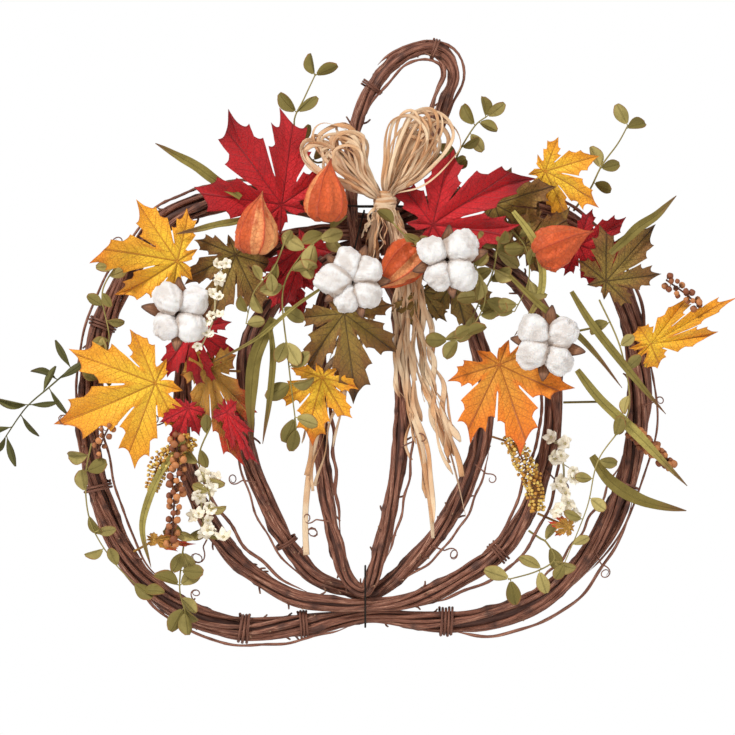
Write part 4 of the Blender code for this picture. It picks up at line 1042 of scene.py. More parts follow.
def strip(surface, line, width, thickness, turn, frayed=False, **values):
    """A raffia strip: a flat oval section turned along the line. A frayed end widens and tears to a point."""
    share = np.linspace(0, 1, len(line))
    half = np.broadcast_to(width / 2, len(line)).copy()
    if frayed:
        half = half * (1 + 0.5 * ease((share - 0.86) / 0.1)) * (1 - 0.75 * ease((share - 0.965) / 0.035))
    tube(surface, line, half, 8, flat=thickness / 2 / half, turn=turn, **values)


def raffia_tail(context, name, seed):
    """One hanging tail: a flat strip as wide as the tail along its whole route, with thinner strips that
    stray beside it."""
    raffia = context.scene.wreath_raffia
    rng = np.random.default_rng(seed)
    knots = np.array([KNOT + (x, -ahead, -drop) for x, ahead, drop in TAILS[name]])
    line, share = resample(spline(knots, 8), 0.004)
    surface = Surface()
    turn = 0.45 * waver(rng, share, 1, 3, 3) + rng.uniform(-0.2, 0.2)
    strip(surface, line, raffia.tail_width, raffia.strip_thickness, turn, tint=rng.uniform(0, 1), deep=0.0)
    tail = surface.build(name + "_strip", "raffia_straw")
    place(tail, "raffia", name)
    beside = Surface()
    count, stray, shortest, longest = BESIDE[name]
    for k in range(count):
        end = rng.uniform(shortest, longest)
        kept = line[share <= end]
        t = np.linspace(0, 1, len(kept))
        drift = rng.uniform(-1, 1) * stray * t**0.8 + 0.0032 * waver(rng, t, 1, 4) * ease(t * 5)
        path = kept + np.stack([drift, rng.uniform(-0.005, 0.003) * t + 0.0015 * waver(rng, t, 1, 4),
                                0.0015 * waver(rng, t, 1, 4)], 1)
        path[:, 1] = np.maximum(path[:, 1], CAD_LOW.y - 0.004)
        width = rng.uniform(0.0018, 0.0056)
        turn = 0.9 * waver(rng, t, 1, 4, 3) + rng.uniform(-0.6, 0.6)
        strip(beside, path, width, raffia.strip_thickness, turn, k % 2 == 0, tint=rng.uniform(0, 1), deep=0.0)
    extra = beside.build(name + "_strands", "raffia_straw")
    place(extra, "raffia")


def raffia_loop(context, name, seed):
    """One side of the bow: strips that share a loop but fan apart in size, tilt and depth."""
    raffia = context.scene.wreath_raffia
    rng = np.random.default_rng(seed)
    surface = Surface()
    route = spline(np.array(LOOPS[name]), 6)
    root = route[0]
    for _ in range(raffia.strips):
        size = rng.uniform(0.7, 1.06)
        tilt = radians(rng.uniform(-15, 15))
        slim = rng.uniform(0.3, 1.0)
        flat = (route - root) * size
        peak = flat[np.argmax(np.linalg.norm(flat, axis=1))]
        ahead = peak / np.linalg.norm(peak)
        beside = np.array([-ahead[1], ahead[0]])
        flat = (flat @ ahead)[:, None] * ahead + (flat @ beside * slim)[:, None] * beside
        spun = np.stack([flat[:, 0] * cos(tilt) - flat[:, 1] * sin(tilt),
                         flat[:, 0] * sin(tilt) + flat[:, 1] * cos(tilt)], 1) + root
        t = np.linspace(0, 1, len(spun))
        deep = rng.uniform(-0.011, 0.01)
        y = -LOOP_AHEAD * np.sin(pi * t) ** 0.5 + deep * np.sin(pi * t) + 0.0015 * waver(rng, t, 1, 4)
        path = KNOT + np.stack([spun[:, 0], y, spun[:, 1]], 1)
        path += np.stack([0.0012 * waver(rng, t, 1, 5), 0 * t, 0.0012 * waver(rng, t, 1, 5)], 1)
        path, share = resample(path, 0.003)
        turn = rng.uniform(-0.7, 0.8) + 0.6 * waver(rng, share, 1, 3, 3)
        width = raffia.strip_width * rng.uniform(0.55, 1.2) * (0.55 + 0.45 * ease(np.sin(pi * share) * 3))
        # Painted shade on the loop's ends, where they crowd into the knot.
        strip(surface, path, width, raffia.strip_thickness, turn, tint=rng.uniform(0, 1),
              deep=np.clip(1.2 - 9 * np.minimum(share, 1 - share), 0, 1) * 0.7)
    piece = surface.build(name + "_strips", "raffia_straw")
    return place(piece, "raffia", name)


def raffia_knot(context):
    """Strips wound level round the waist of the bow, and the short strips that spread below it."""
    raffia = context.scene.wreath_raffia
    rng = np.random.default_rng(77)
    surface = Surface()
    angle = np.linspace(0, 2 * pi, 28, endpoint=False)
    width = raffia.strip_width * 0.42
    for k in range(9):
        level = (k - 4) * 0.0019
        wide, deep = 0.01 * (1 - 0.03 * (k - 4) ** 2 * 0.5), 0.0078
        tilt = rng.uniform(-0.18, 0.18)
        path = KNOT + np.stack([wide * np.cos(angle), deep * np.sin(angle),
                                level + tilt * 0.01 * np.cos(angle) + 0.0005 * np.sin(3 * angle + k)], 1)
        # A little painted shade on the strips wound round the knot.
        tube(surface, path, width, 8, closed=True, flat=0.3, turn=pi / 2, tint=rng.uniform(0, 1), deep=0.12)
    t = np.linspace(0, 1, 16)
    for _ in range(16):
        lean = rng.uniform(-0.62, 0.66)
        reach = rng.uniform(0.026, 0.064)
        out = np.sin(lean) * reach * t**1.1 + lean * 0.007
        path = KNOT + np.stack([out + 0.0018 * waver(rng, t, 1, 3), -0.004 - rng.uniform(0, 0.008) * t,
                                0.005 - (reach + 0.008) * np.cos(lean) * t], 1)
        # Painted shade on each short strip near the knot.
        strip(surface, path, raffia.strip_width * rng.uniform(0.4, 0.85), raffia.strip_thickness,
              rng.uniform(-1, 1) + waver(rng, t, 1, 3), True, tint=rng.uniform(0, 1),
              deep=np.clip(0.9 - 3.0 * t, 0, 1) * 0.6)
    piece = surface.build("raffia_knot_wraps", "raffia_straw")
    return place(piece, "raffia", "raffia_knot")


# ------------------------ maple leaves
# Lobes as (degrees from the tip, share of the leaf's length), and how far out the notches between them
# come.
LOBES = [(-140, 0.27), (-93, 0.56), (-45, 0.82), (0, 1.0), (45, 0.82), (93, 0.56), (140, 0.27)]
NOTCHES = [0.16, 0.22, 0.27, 0.27, 0.22, 0.16]
# One side of a lobe from its notch to its tip: (share of the way from the middle line to the notch, share
# of length).
TEETH = [(0.74, 0.42), (0.93, 0.63), (0.56, 0.66), (0.56, 0.82), (0.24, 0.83)]
FOOT = 0.06  # how far out the leaf reaches beside its stalk


def leaf_edge(rng):
    """The leaf's edge once round from the stalk, as (degrees, share of length, lobe), with a column on
    each lobe's middle line, so that the main veins keep sharp."""
    edge = [(-178.0, FOOT, 0)]
    for i, (middle, share) in enumerate(LOBES):
        low = (LOBES[i - 1][0] + middle) / 2 if i else -178.0
        high = (middle + LOBES[i + 1][0]) / 2 if i + 1 < len(LOBES) else 178.0
        low_span, high_span = min(middle - low, 24.0), min(high - middle, 24.0)
        grow = rng.uniform(0.93, 1.06)
        teeth = TEETH if share > 0.4 else TEETH[1:3]
        for span, row in ((-low_span, teeth), (0, [(0, 1)]), (high_span, teeth[::-1])):
            for across, out in row:
                jitter = rng.uniform(0.95, 1.05) if span else 1
                edge.append((middle + across * span, out * share * grow * jitter, i))
        if i < len(NOTCHES):
            edge.append(((middle + LOBES[i + 1][0]) / 2, NOTCHES[i] * rng.uniform(0.9, 1.15), i))
    edge.append((178.0, FOOT, len(LOBES) - 1))
    return np.array(edge)


def leaf_grid(rng, size, width, curl, rings, relief=1.0):
    """The leaf as a function of its ring and its angle: each ring is the edge drawn in towards the
    stalk's end. Lobes bend and fold about their middle lines, and the cloth ripples more towards the
    edge."""
    edge = leaf_edge(rng)
    fine = 5
    t = np.arange((len(edge) - 1) * fine + 1) / fine
    degrees = np.interp(t, np.arange(len(edge)), edge[:, 0])
    radius = np.interp(t, np.arange(len(edge)), edge[:, 1])
    radius = radius * (1 - 0.03 * np.sin(pi * (t % 1)))
    lobe_at = edge[np.minimum(t.astype(int) + 1, len(edge) - 1), 2].astype(int)
    middles = np.array([x for x, _ in LOBES], float)
    bends = np.interp(degrees, middles, rng.uniform(-0.65, 1.0, len(LOBES)) * relief)
    folds = np.interp(degrees, middles, rng.uniform(0.15, 0.75, len(LOBES)) * relief)
    sways = np.interp(degrees, middles, rng.uniform(-14, 14, len(LOBES)))
    nearest = np.abs(degrees[:, None] - middles).min(1)
    reach = np.linspace(0.02, 1, rings) ** 0.85
    out = reach[:, None] * radius[None, :]
    angle = np.radians(degrees)[None, :] + np.radians(sways)[None, :] * out**2
    x, z = width * size * out * np.sin(angle), size * out * np.cos(angle)
    valley = np.sin(np.clip(np.radians(nearest) * 4, 0, pi / 2))
    y = curl * out**2 + size * (bends * out**2.4 * 0.5 - folds * valley * out * 0.34)
    field = np.stack([x, np.zeros_like(x), z], -1)
    y = y + size * 0.055 * relief * lumps(rng, field, size * 0.8) * out
    y = y + size * 0.018 * relief * lumps(rng, field, size * 0.28) * reach[:, None] ** 2
    points = np.stack([x, y, z], -1)
    main = np.radians(middles[lobe_at])
    uvs = []
    next_angle = np.concatenate([angle[:, 1:], angle[:, :1] + 2 * pi], 1)
    for a, r in ((angle, out), (next_angle, np.roll(out, -1, 1))):
        uvs.append(np.stack([size * r * np.cos(a - main), size * r * np.sin(a - main)], -1))
    return points, uvs, np.broadcast_to(reach[:, None], x.shape), out


# name, across, down, ahead, length, share of full width, turn, lean, roll, curl, finish, aim of the stalk
LEAVES = [
    ("red_top_left", -0.306, -0.04, 0.021, 0.099, 1.0, -37, 10, 4, 0.008, "red", (0, 0)),
    ("yellow_upper_left", -0.677, 0.102, 0.024, 0.08, 1.0, -80, 12, -6, 0.006, "yellow", (-0.03, 0)),
    ("brown_left", -0.472, 0.085, 0.008, 0.07, 1.0, 200, 0, 0, 0.003, "brown", (0, 0)),
    ("red_left", -0.62, 0.27, 0.009, 0.06, 1.0, 172, 4, 4, 0.003, "red", (0, 0)),
    ("yellow_lower_left", -0.756, 0.408, 0.022, 0.096, 1.0, -115, 10, -5, 0.008, "yellow", (-0.02, 0)),
    ("amber_left", -0.566, 0.37, 0.015, 0.098, 0.5, 166, 3, 0, 0.004, "amber", (0.02, 0, 0.9)),
    ("red_center", -0.228, 0.062, 0.017, 0.064, 0.7, 196, 4, 0, 0.003, "red", (0, 0.02)),
    ("brown_center", -0.083, 0.234, 0.022, 0.078, 1.0, 172, 6, 0, 0.004, "brown", (-0.02, 0)),
    ("yellow_center", -0.16, 0.395, 0.021, 0.058, 1.0, 196, 4, 0, 0.003, "yellow", (0, 0)),
    ("red_top_right", 0.232, 0.01, 0.02, 0.096, 0.9, 56, 8, 0, 0.006, "red", (0.02, 0)),
    ("brown_top_right", 0.455, -0.042, 0.0065, 0.066, 1.0, 118, 2, 0, 0.003, "brown", (0, 0)),
    ("olive_center_right", 0.305, 0.15, 0.009, 0.052, 1.0, 165, 3, 0, 0.003, "olive", (0, 0)),
    ("orange_right", 0.468, 0.362, 0.03, 0.088, 1.0, 161, 8, 0, 0.007, "orange", (0, 0)),
    ("yellow_top_right", 0.635, -0.125, 0.014, 0.062, 0.9, 118, 14, 22, 0.006, "yellow", (0, 0)),
    ("red_right", 0.755, 0.06, 0.008, 0.058, 1.0, 110, 2, 0, 0.003, "red", (0, 0)),
    ("olive_right", 0.848, 0.152, 0.025, 0.064, 0.9, 42, 4, 5, 0.005, "brown", (0, -0.02)),
    ("yellow_far_right", 1.012, 0.31, 0.01, 0.092, 0.4, 60, 12, -8, 0.008, "yellow", (0, -0.02)),
]
# Small leaves that only fill the front.
LOOSE_LEAVES = [
    ("red_strip", -0.5, 0.48, 0.024, 0.056, 0.4, 150, 6, 20, 0.004, "red", (0.02, 0, 0.9)),
    ("red_low_left", -0.64, 0.47, 0.018, 0.036, 0.9, 200, 6, 0, 0.004, "red", (-0.02, 0)),
    ("amber_low_left", -0.76, 0.8, 0.02, 0.036, 0.35, 100, 6, 0, 0.004, "amber", (0, 0)),
    ("amber_low_right", 0.72, 0.77, 0.02, 0.022, 0.7, -80, 6, 0, 0.002, "amber", (0, 0)),
    ("brown_behind_right", 0.56, 0.06, 0.012, 0.052, 1.0, 60, 6, 0, 0.003, "brown", (0, 0)),
    ("olive_behind_center", 0.2, 0.18, 0.01, 0.04, 1.0, 190, 6, 0, 0.003, "olive", (0, 0)),
    ("red_behind_left", -0.3, 0.13, 0.008, 0.048, 0.9, 150, 6, 0, 0.003, "red", (0, 0)),
]


def maple_leaf(context, row, seed):
    """One cloth maple leaf on its wired stalk."""
    name, across, down, ahead, size, width, turn, lean, roll, curl, finish, aim = row
    leaves = context.scene.wreath_leaves
    rng = np.random.default_rng(seed)
    at, way = spot(across, down, ahead), facing(turn, lean, roll)
    surface = Surface()
    points, (left, right), reach, out = leaf_grid(rng, size, width, curl, leaves.rings)
    tint = rng.uniform(0, 1)
    blade_body(surface, points @ way.T + at, leaves.thickness, right, left, True, reach=reach, out=out,
               tint=tint)
    start = at + way @ np.array([0, leaves.thickness * 0.4, 0.002])
    tube(surface, stalk_line(start, aim, STALK_WIRE), STALK_WIRE * 0.85, 7, reach=0.1, out=0.1, tint=tint)
    piece = surface.build(f"leaf_{name}", "maple_" + finish, LEAF_CREASE_ANGLE)
    nodes = [] if row in LOOSE_LEAVES else ["maple_leaf_" + name]
    return place(piece, "leaf_" + finish, *nodes)


# ------------------------ cotton bolls
# name, across, down, ahead, turn, aim of the stalk, locks
COTTON = [
    ("cotton_boll_left", -0.664, 0.235, 0.047, 4, (0, 0.03, 0.6), 4),
    ("cotton_boll_center_left", -0.05, 0.155, 0.056, 20, (-0.02, -0.01), 5),
    ("cotton_boll_center_right", 0.285, 0.105, 0.058, -8, (-0.015, -0.012, 0.7), 4),
    ("cotton_boll_right", 0.634, 0.312, 0.052, 10, (0, 0.03, 0.9), 4),
]


def sphere_grid(rows, columns):
    """Unit directions over a sphere, with small rings at the poles that caps close."""
    down = np.linspace(0.12, pi - 0.12, rows)[:, None]
    around = np.linspace(0, 2 * pi, columns, endpoint=False)[None, :]
    return np.stack([np.sin(down) * np.cos(around), np.sin(down) * np.sin(around),
                     np.cos(down) * np.ones_like(around)], -1)


def petal_grid(rows, columns):
    """t from 0 at a petal's foot to 1 at its tip, s from -1 to 1 across it, and the UV map along both."""
    t, s = np.linspace(0, 1, rows)[:, None], np.linspace(-1, 1, columns)[None, :]
    return t, s, np.stack([t + 0 * s, s / 2 + 0.5 + 0 * t], -1)


def cotton_boll(context, row, seed):
    """Fluffy locks pressed together, each a ball with waves of three sizes, on a husk of dried points."""
    name, across, down, ahead, turn, aim, locks = row
    dressing = context.scene.wreath_dressing
    rng = np.random.default_rng(seed)
    at, way = spot(across, down, ahead), facing(turn)
    surface = Surface()
    ball = sphere_grid(48, 72)
    tuft = dressing.tuft
    for k in range(locks):
        angle = 2 * pi * (k + 0.5) / locks + rng.uniform(-0.12, 0.12)
        out = tuft * rng.uniform(0.98, 1.12)
        size = tuft * rng.uniform(0.8, 1.02)
        middle = np.array([out * sin(angle), -tuft * rng.uniform(0.15, 0.38), out * cos(angle)])
        field = ball + rng.uniform(-9, 9, 3)
        wave = sum(height * lumps(rng, field, scale) for height, scale in LOCK_WAVES)
        shape = ball * (1 + wave[..., None]) * size * np.array([0.98, 0.86, 1.06])
        spin = facing(np.degrees(angle), rng.uniform(-10, 10), rng.uniform(-20, 20))
        local = shape @ spin.T + middle
        beside = np.abs((np.arctan2(local[..., 0], local[..., 2]) - angle + pi) % (2 * pi) - pi) * locks / pi
        near = np.hypot(local[..., 0], local[..., 2]) / tuft
        # Painted shade: darker in the hollows of the waves, where the locks meet and towards the boll's
        # middle.
        meet = ease((beside - 0.74) / 0.3) + ease((0.42 - near) / 0.4)
        crease = np.clip(0.16 - wave * 3.0, 0, 0.35) + np.clip(meet, 0, 1) * 0.75
        surface.grid(local @ way.T + at, around=True, caps=(True, True), flip=True,
                     crease=np.clip(crease, 0, 1))
    fluff = surface.build(name + "_locks", "cotton_fibre")
    place(fluff, "cotton", name)
    husk = Surface()
    t, s, uv = petal_grid(16, 11)
    x = tuft * 0.44 * np.sin(pi * np.clip(t * 0.86 + 0.12, 0, 1)) ** 0.75 * s
    y = tuft * (0.62 - 1.55 * t**1.5 + 0.5 * s**2 * (1 - t) + 1.6 * np.clip(t - 0.8, 0, 1))
    edge = np.clip(np.abs(s) ** 4 + t**5, 0, 1)
    for k in range(locks):
        angle = 2 * pi * k / locks + rng.uniform(-0.1, 0.1)
        z = tuft * rng.uniform(2.05, 2.35) * t + 0 * s
        spin = facing(np.degrees(angle)) @ facing(0, 0, rng.uniform(-14, 14))
        points = (np.stack([x, y, z], -1) @ spin.T) @ way.T + at
        blade_body(husk, points, HUSK_THICKNESS, uv, edge=edge, tint=rng.uniform(0, 1))
    start = at + np.array([0, tuft * 0.8, 0])
    tube(husk, stalk_line(start, aim, STEM_WIRE), STEM_WIRE, 8, edge=0.2, tint=0.4)
    cup = spline([at + way @ np.array([0, tuft * y, 0]) for y in (0.3, 0.62, 0.95, 1.1)], 3)
    tube(husk, cup, tuft * np.interp(np.linspace(0, 1, len(cup)), [0, 0.5, 1], [0.55, 0.38, 0.12]), 14,
         edge=0.3, tint=0.6)
    place(husk.build(name + "_husk", "boll_husk", 50), "cotton")


# ------------------------ lantern pods
# name, across, down, ahead, turn, lean, spin, aim of the stalk
LANTERNS = [
    ("lantern_pod_left", -0.392, 0.015, 0.046, 3, 8, 10, (0.015, -0.02, 0.9)),
    ("lantern_pod_center_left", -0.144, -0.065, 0.046, 0, 6, 32, (-0.02, 0)),
    ("lantern_pod_center", 0.114, 0.12, 0.034, 222, 10, 20, (-0.02, 0, 0.8)),
    ("lantern_pod_right", 0.684, 0.06, 0.044, 62, 4, 45, (0, 0)),
]
# The pod's outer profile from its point to its mouth: (share of its length from the mouth, share of its
# radius).
POD_PROFILE = [
    (1.03, 0.03), (0.97, 0.07), (0.9, 0.16), (0.8, 0.36), (0.66, 0.62), (0.5, 0.85), (0.34, 0.98),
    (0.2, 1.0), (0.08, 0.88), (0.0, 0.66), (-0.02, 0.5), (0.06, 0.34), (0.16, 0.2),
]
POD_RIBS = 5


def lantern_pod(context, row, seed):
    """A papery pod: a turned profile with standing ribs and sagging panels, twisted a little."""
    name, across, down, ahead, turn, lean, spin, aim = row
    dressing = context.scene.wreath_dressing
    rng = np.random.default_rng(seed)
    at, way = spot(across, down, ahead), facing(turn, lean)
    profile = spline(np.array(POD_PROFILE), 5)
    columns = POD_RIBS * 18
    around = np.linspace(0, 2 * pi, columns, endpoint=False)[None, :]
    up, out = profile[:, :1], profile[:, 1:]
    twist = 0.35 * (up - 0.4) + radians(spin)
    near = np.abs(((around * POD_RIBS / (2 * pi)) % 1) - 0.5) * 2
    ridge = near**7
    sag = np.sin(pi * near) ** 2 * np.clip(out, 0, 1)
    swell = 1 + 0.1 * ridge - 0.1 * sag + 0.035 * np.cos(around + seed)
    angle = around + twist + 0.06 * np.sin(2 * around + 3 * up)
    flat = np.stack([np.cos(angle), np.sin(angle), 0 * angle], -1)
    wrinkle = 0.045 * lumps(rng, flat + up[..., None] * 2.0, 0.55)
    wrinkle = wrinkle + 0.022 * lumps(rng, flat + up[..., None] * 3.0, 0.2)
    reach = dressing.pod_radius * out * (swell + wrinkle * (1 - ridge * 0.6))
    z = (up - 0.45 + 0.035 * ridge * (up < 0.12)) * dressing.pod_length + 0 * around
    lean_tip = 0.0035 * np.clip(up - 0.75, 0, 1) * 4
    points = np.stack([reach * np.cos(angle) + lean_tip, reach * np.sin(angle), z], -1)
    panel = np.floor(around * POD_RIBS / (2 * pi) + 0.5) % POD_RIBS
    tint = rng.permutation(np.linspace(0.05, 1, POD_RIBS))[panel.astype(int)] + 0 * up
    end = np.clip((up - 0.86) * 7, 0, 1) + np.clip((0.04 - up) * 8, 0, 1) + 0 * around
    surface = Surface()
    surface.grid(points @ way.T + at, around=True, caps=(True, True), flip=True, rib=ridge + 0 * up,
                 tint=tint, end=end)
    start = at + np.array([0, dressing.pod_radius * 0.6, 0])
    tube(surface, stalk_line(start, aim, STEM_WIRE), STEM_WIRE, 8, rib=0.8, tint=0.0, end=0.8)
    piece = surface.build(name + "_husk", "lantern_paper", CREASE_ANGLE)
    return place(piece, "lantern", name)


# ------------------------ long blades
# name, width, which point the stalk leaves from, points as (across, down, ahead)
BLADES = [
    ("grass_blade_top_left", 0.0095, 1,
     [(-0.45, -0.055, 0.034), (-0.56, -0.11, 0.036), (-0.66, -0.155, 0.038), (-0.751, -0.19, 0.04)]),
    ("grass_blade_top_right", 0.009, 2,
     [(0.86, 0.085, 0.038), (0.95, 0.025, 0.036), (1.03, -0.015, 0.036), (1.095, -0.06, 0.036)]),
    ("grass_blade_mid_right", 0.0075, 1,
     [(0.72, 0.18, 0.052), (0.8, 0.27, 0.05), (0.92, 0.375, 0.046), (1.056, 0.485, 0.04)]),
    ("grass_blade_low_right", 0.01, 1,
     [(0.745, 0.375, 0.03), (0.83, 0.455, 0.03), (0.97, 0.545, 0.03), (1.135, 0.665, 0.03)]),
    ("grass_blade_bottom_right", 0.012, 1,
     [(0.8, 0.59, 0.022), (0.87, 0.655, 0.022), (0.98, 0.705, 0.022), (1.135, 0.728, 0.022)]),
    ("grass_blade_center_left", 0.012, 1,
     [(-0.335, 0.245, 0.032), (-0.395, 0.34, 0.03), (-0.415, 0.44, 0.028), (-0.41, 0.55, 0.026)]),
]
# Blades that only dress the front: (width, how dry, points).
LOOSE_BLADES = [
    (0.0075, 0.1, [(0.515, -0.02, 0.044), (0.6, 0.07, 0.046), (0.61, 0.19, 0.046), (0.52, 0.29, 0.044)]),
    (0.006, 0.2, [(-0.345, 0.26, 0.04), (-0.335, 0.36, 0.038), (-0.35, 0.46, 0.036), (-0.372, 0.56, 0.034)]),
    (0.0036, 0.1, [(-0.14, 0.16, 0.046), (-0.26, 0.22, 0.046), (-0.4, 0.3, 0.044), (-0.56, 0.36, 0.042)]),
    (0.007, 0.0, [(-0.65, 0.55, 0.03), (-0.74, 0.64, 0.028), (-0.8, 0.76, 0.026), (-0.77, 0.87, 0.024)]),
    (0.0065, 0.3, [(-0.4, -0.01, 0.03), (-0.48, 0.005, 0.032), (-0.58, 0.02, 0.032), (-0.68, 0.035, 0.03)]),
    (0.006, 0.3, [(0.5, 0.14, 0.05), (0.62, 0.22, 0.052), (0.76, 0.3, 0.05), (0.9, 0.42, 0.046)]),
]


def long_blade(surface, line, width, dry, rng):
    """A blade: widest two fifths of the way along, drawn to a point, folded along its middle and twisted."""
    path, share = resample(line, 0.0035)
    half = width / 2 * np.sin(pi * np.clip(0.14 + 0.86 * share, 0, 0.992)) ** 0.75
    s = np.linspace(-1, 1, 9)[None, :, None]
    turn = 0.35 * waver(rng, share, 1, 2, 2)[:, None, None]
    front = np.array([0.0, -1.0, 0.0])
    flat_side = unit(np.cross(tangents(path), front))[:, None]
    normal = np.cross(flat_side[:, 0], tangents(path))[:, None]
    across = flat_side * np.cos(turn) + normal * np.sin(turn)
    over = normal * np.cos(turn) - flat_side * np.sin(turn)
    points = path[:, None] + (across * s + over * (0.42 * np.abs(s) ** 1.3)) * half[:, None, None]
    uv = np.stack([share[:, None] + 0 * s[..., 0], s[..., 0] / 2 + 0.5 + 0 * share[:, None]], -1)
    out = np.clip(share**1.5 + dry * 0.5, 0, 1)[:, None] + 0 * s[..., 0]
    blade_body(surface, points, BLADE_THICKNESS, uv, blade=1.0, out=out, tint=rng.uniform(0.2, 0.7))


def grass_blades(context):
    """The long blades, each with its wired stalk, and the loose ones between the leaves."""
    rng = np.random.default_rng(5)
    for name, width, leaves_at, places in BLADES:
        surface = Surface()
        knots = [spot(*p) for p in places]
        long_blade(surface, spline(knots, 12), width, 0.0, rng)
        stalk = stalk_line(knots[leaves_at], (0, 0), STALK_WIRE)
        tube(surface, stalk, STALK_WIRE * 0.8, 7, out=0.2, tint=0.3, blade=0.0)
        place(surface.build(name + "_leaf", "blade_green", CREASE_ANGLE), "grass_blade", name)
    surface = Surface()
    for width, dry, places in LOOSE_BLADES:
        long_blade(surface, spline([spot(*p) for p in places], 12), width, dry, rng)
    place(surface.build("grass_blades_loose", "blade_green", CREASE_ANGLE), "grass_blade")


# ------------------------ sprigs of round leaves
# name, leaf length, leaf width, aim of the root, stem places, leaves as (share along, turn)
SPRIGS = [
    ("eucalyptus_sprig_top_left", 0.021, 0.013, (0, 0),
     [(-0.19, -0.15, 0.004), (-0.235, -0.185, 0.006), (-0.262, -0.25, 0.008), (-0.225, -0.31, 0.008),
      (-0.185, -0.37, 0.008)],
     [(0.36, -60), (0.36, 50), (0.52, -70), (0.52, 20), (0.72, -45), (0.72, 55), (0.97, -25), (0.97, 65)]),
    ("eucalyptus_sprig_top_center", 0.02, 0.012, (0, 0),
     [(0.3, -0.135, 0.004), (0.335, -0.185, 0.006), (0.385, -0.24, 0.008), (0.425, -0.262, 0.008)],
     [(0.36, 70), (0.4, -60), (0.52, -50), (0.6, 75), (0.72, 150), (0.8, -30), (0.84, 110), (1.0, 60),
      (0.97, -5)]),
    ("eucalyptus_sprig_top_right", 0.021, 0.013, (0, 0),
     [(0.8, -0.085, 0.004), (0.838, -0.14, 0.006), (0.895, -0.195, 0.008), (0.93, -0.24, 0.008)],
     [(0.45, 110), (0.58, -25), (0.58, 75), (1.0, -20), (0.95, 70)]),
    ("eucalyptus_sprig_center", 0.023, 0.015, (0, 0.02),
     [(-0.165, 0.045, 0.04), (-0.235, 0.09, 0.04), (-0.3, 0.18, 0.04), (-0.282, 0.34, 0.038),
      (-0.268, 0.43, 0.037), (-0.252, 0.52, 0.036)],
     [(0.16, 30), (0.18, 150), (0.24, -110), (0.3, 80), (0.34, -160), (0.4, -60), (0.45, 150), (0.5, 70),
      (0.55, -100), (0.6, 120), (0.68, 150), (0.68, -150), (0.75, 60), (0.82, -120), (0.82, 95), (0.95, -150),
      (0.95, 110), (1.0, 185)]),
    ("eucalyptus_sprig_center_right", 0.022, 0.014, (0, 0),
     [(0.46, 0.075, 0.036), (0.44, 0.14, 0.038), (0.4, 0.2, 0.038), (0.365, 0.255, 0.036)],
     [(0.22, 20), (0.26, 130), (0.35, -60), (0.35, 100), (0.45, 20), (0.55, -110), (0.55, 130), (0.66, 60),
      (0.78, -85), (0.85, 100), (0.92, 200), (1.0, -150)]),
    ("eucalyptus_sprig_low_left", 0.022, 0.014, (0, 0),
     [(-0.65, 0.8, 0.012), (-0.665, 0.87, 0.018), (-0.668, 0.93, 0.02), (-0.65, 0.98, 0.02)],
     [(0.4, -60), (0.4, 70), (0.5, -155), (0.5, 155), (0.62, 90), (0.75, -65), (0.75, 60), (0.85, 130),
      (0.95, -150), (0.95, 150), (1.0, 180)]),
    ("eucalyptus_sprig_low_right", 0.022, 0.013, (0, 0),
     [(0.64, 0.81, 0.012), (0.665, 0.85, 0.022), (0.6, 0.88, 0.024), (0.5, 0.9, 0.024)],
     [(0.36, 40), (0.45, 150), (0.62, 120), (0.76, -60), (0.78, 165), (0.98, -75), (0.98, 175)]),
    ("olive_sprig_far_left", 0.028, 0.007, (0, 0),
     [(-1.06, 0.372, 0.004), (-1.14, 0.42, 0.006), (-1.22, 0.47, 0.008), (-1.29, 0.54, 0.008)],
     [(0.3, 80), (0.4, -25), (0.52, 60), (0.52, -60), (0.6, 140), (0.66, 20), (0.78, -85), (0.78, 80),
      (0.84, 150), (0.92, -110), (1.0, 170), (1.0, -150)]),
]
# Sprigs that only dress the front: (leaf length, leaf width, how pale, leaves, stem places).
LOOSE_SPRIGS = [
    (0.02, 0.013, 0.5, 9, [
     (-0.985, 0.56, 0.012), (-1.005, 0.65, 0.018), (-0.985, 0.76, 0.02), (-0.9, 0.86, 0.02),
     (-0.8, 0.93, 0.018)]),
    (0.019, 0.013, 0.7, 12, [
     (0.3, 0.06, 0.046), (0.375, 0.115, 0.05), (0.415, 0.2, 0.05), (0.345, 0.29, 0.046),
     (0.27, 0.3, 0.044)]),
    (0.018, 0.012, 0.9, 12, [
     (0.82, 0.2, 0.04), (0.9, 0.33, 0.038), (0.925, 0.48, 0.034), (0.82, 0.6, 0.03),
     (0.78, 0.72, 0.026), (0.7, 0.86, 0.024)]),
    (0.018, 0.012, 0.3, 9, [
     (0.5, 0.02, 0.034), (0.56, 0.07, 0.04), (0.57, 0.15, 0.044), (0.52, 0.23, 0.046)]),
    (0.017, 0.012, 0.5, 7, [
     (-0.29, 0.05, 0.046), (-0.33, 0.12, 0.048), (-0.4, 0.18, 0.046), (-0.43, 0.26, 0.044)]),
    (0.017, 0.011, 0.4, 8, [
     (-0.56, 0.52, 0.03), (-0.6, 0.6, 0.03), (-0.56, 0.7, 0.03), (-0.61, 0.8, 0.028)]),
    (0.018, 0.012, 0.4, 8, [
     (0.08, 0.0, 0.038), (0.15, 0.05, 0.044), (0.25, 0.08, 0.04), (0.33, 0.05, 0.038)]),
    (0.017, 0.011, 0.6, 9, [
     (-0.88, 0.1, 0.014), (-0.945, 0.18, 0.018), (-0.92, 0.3, 0.02), (-0.96, 0.4, 0.018)]),
]


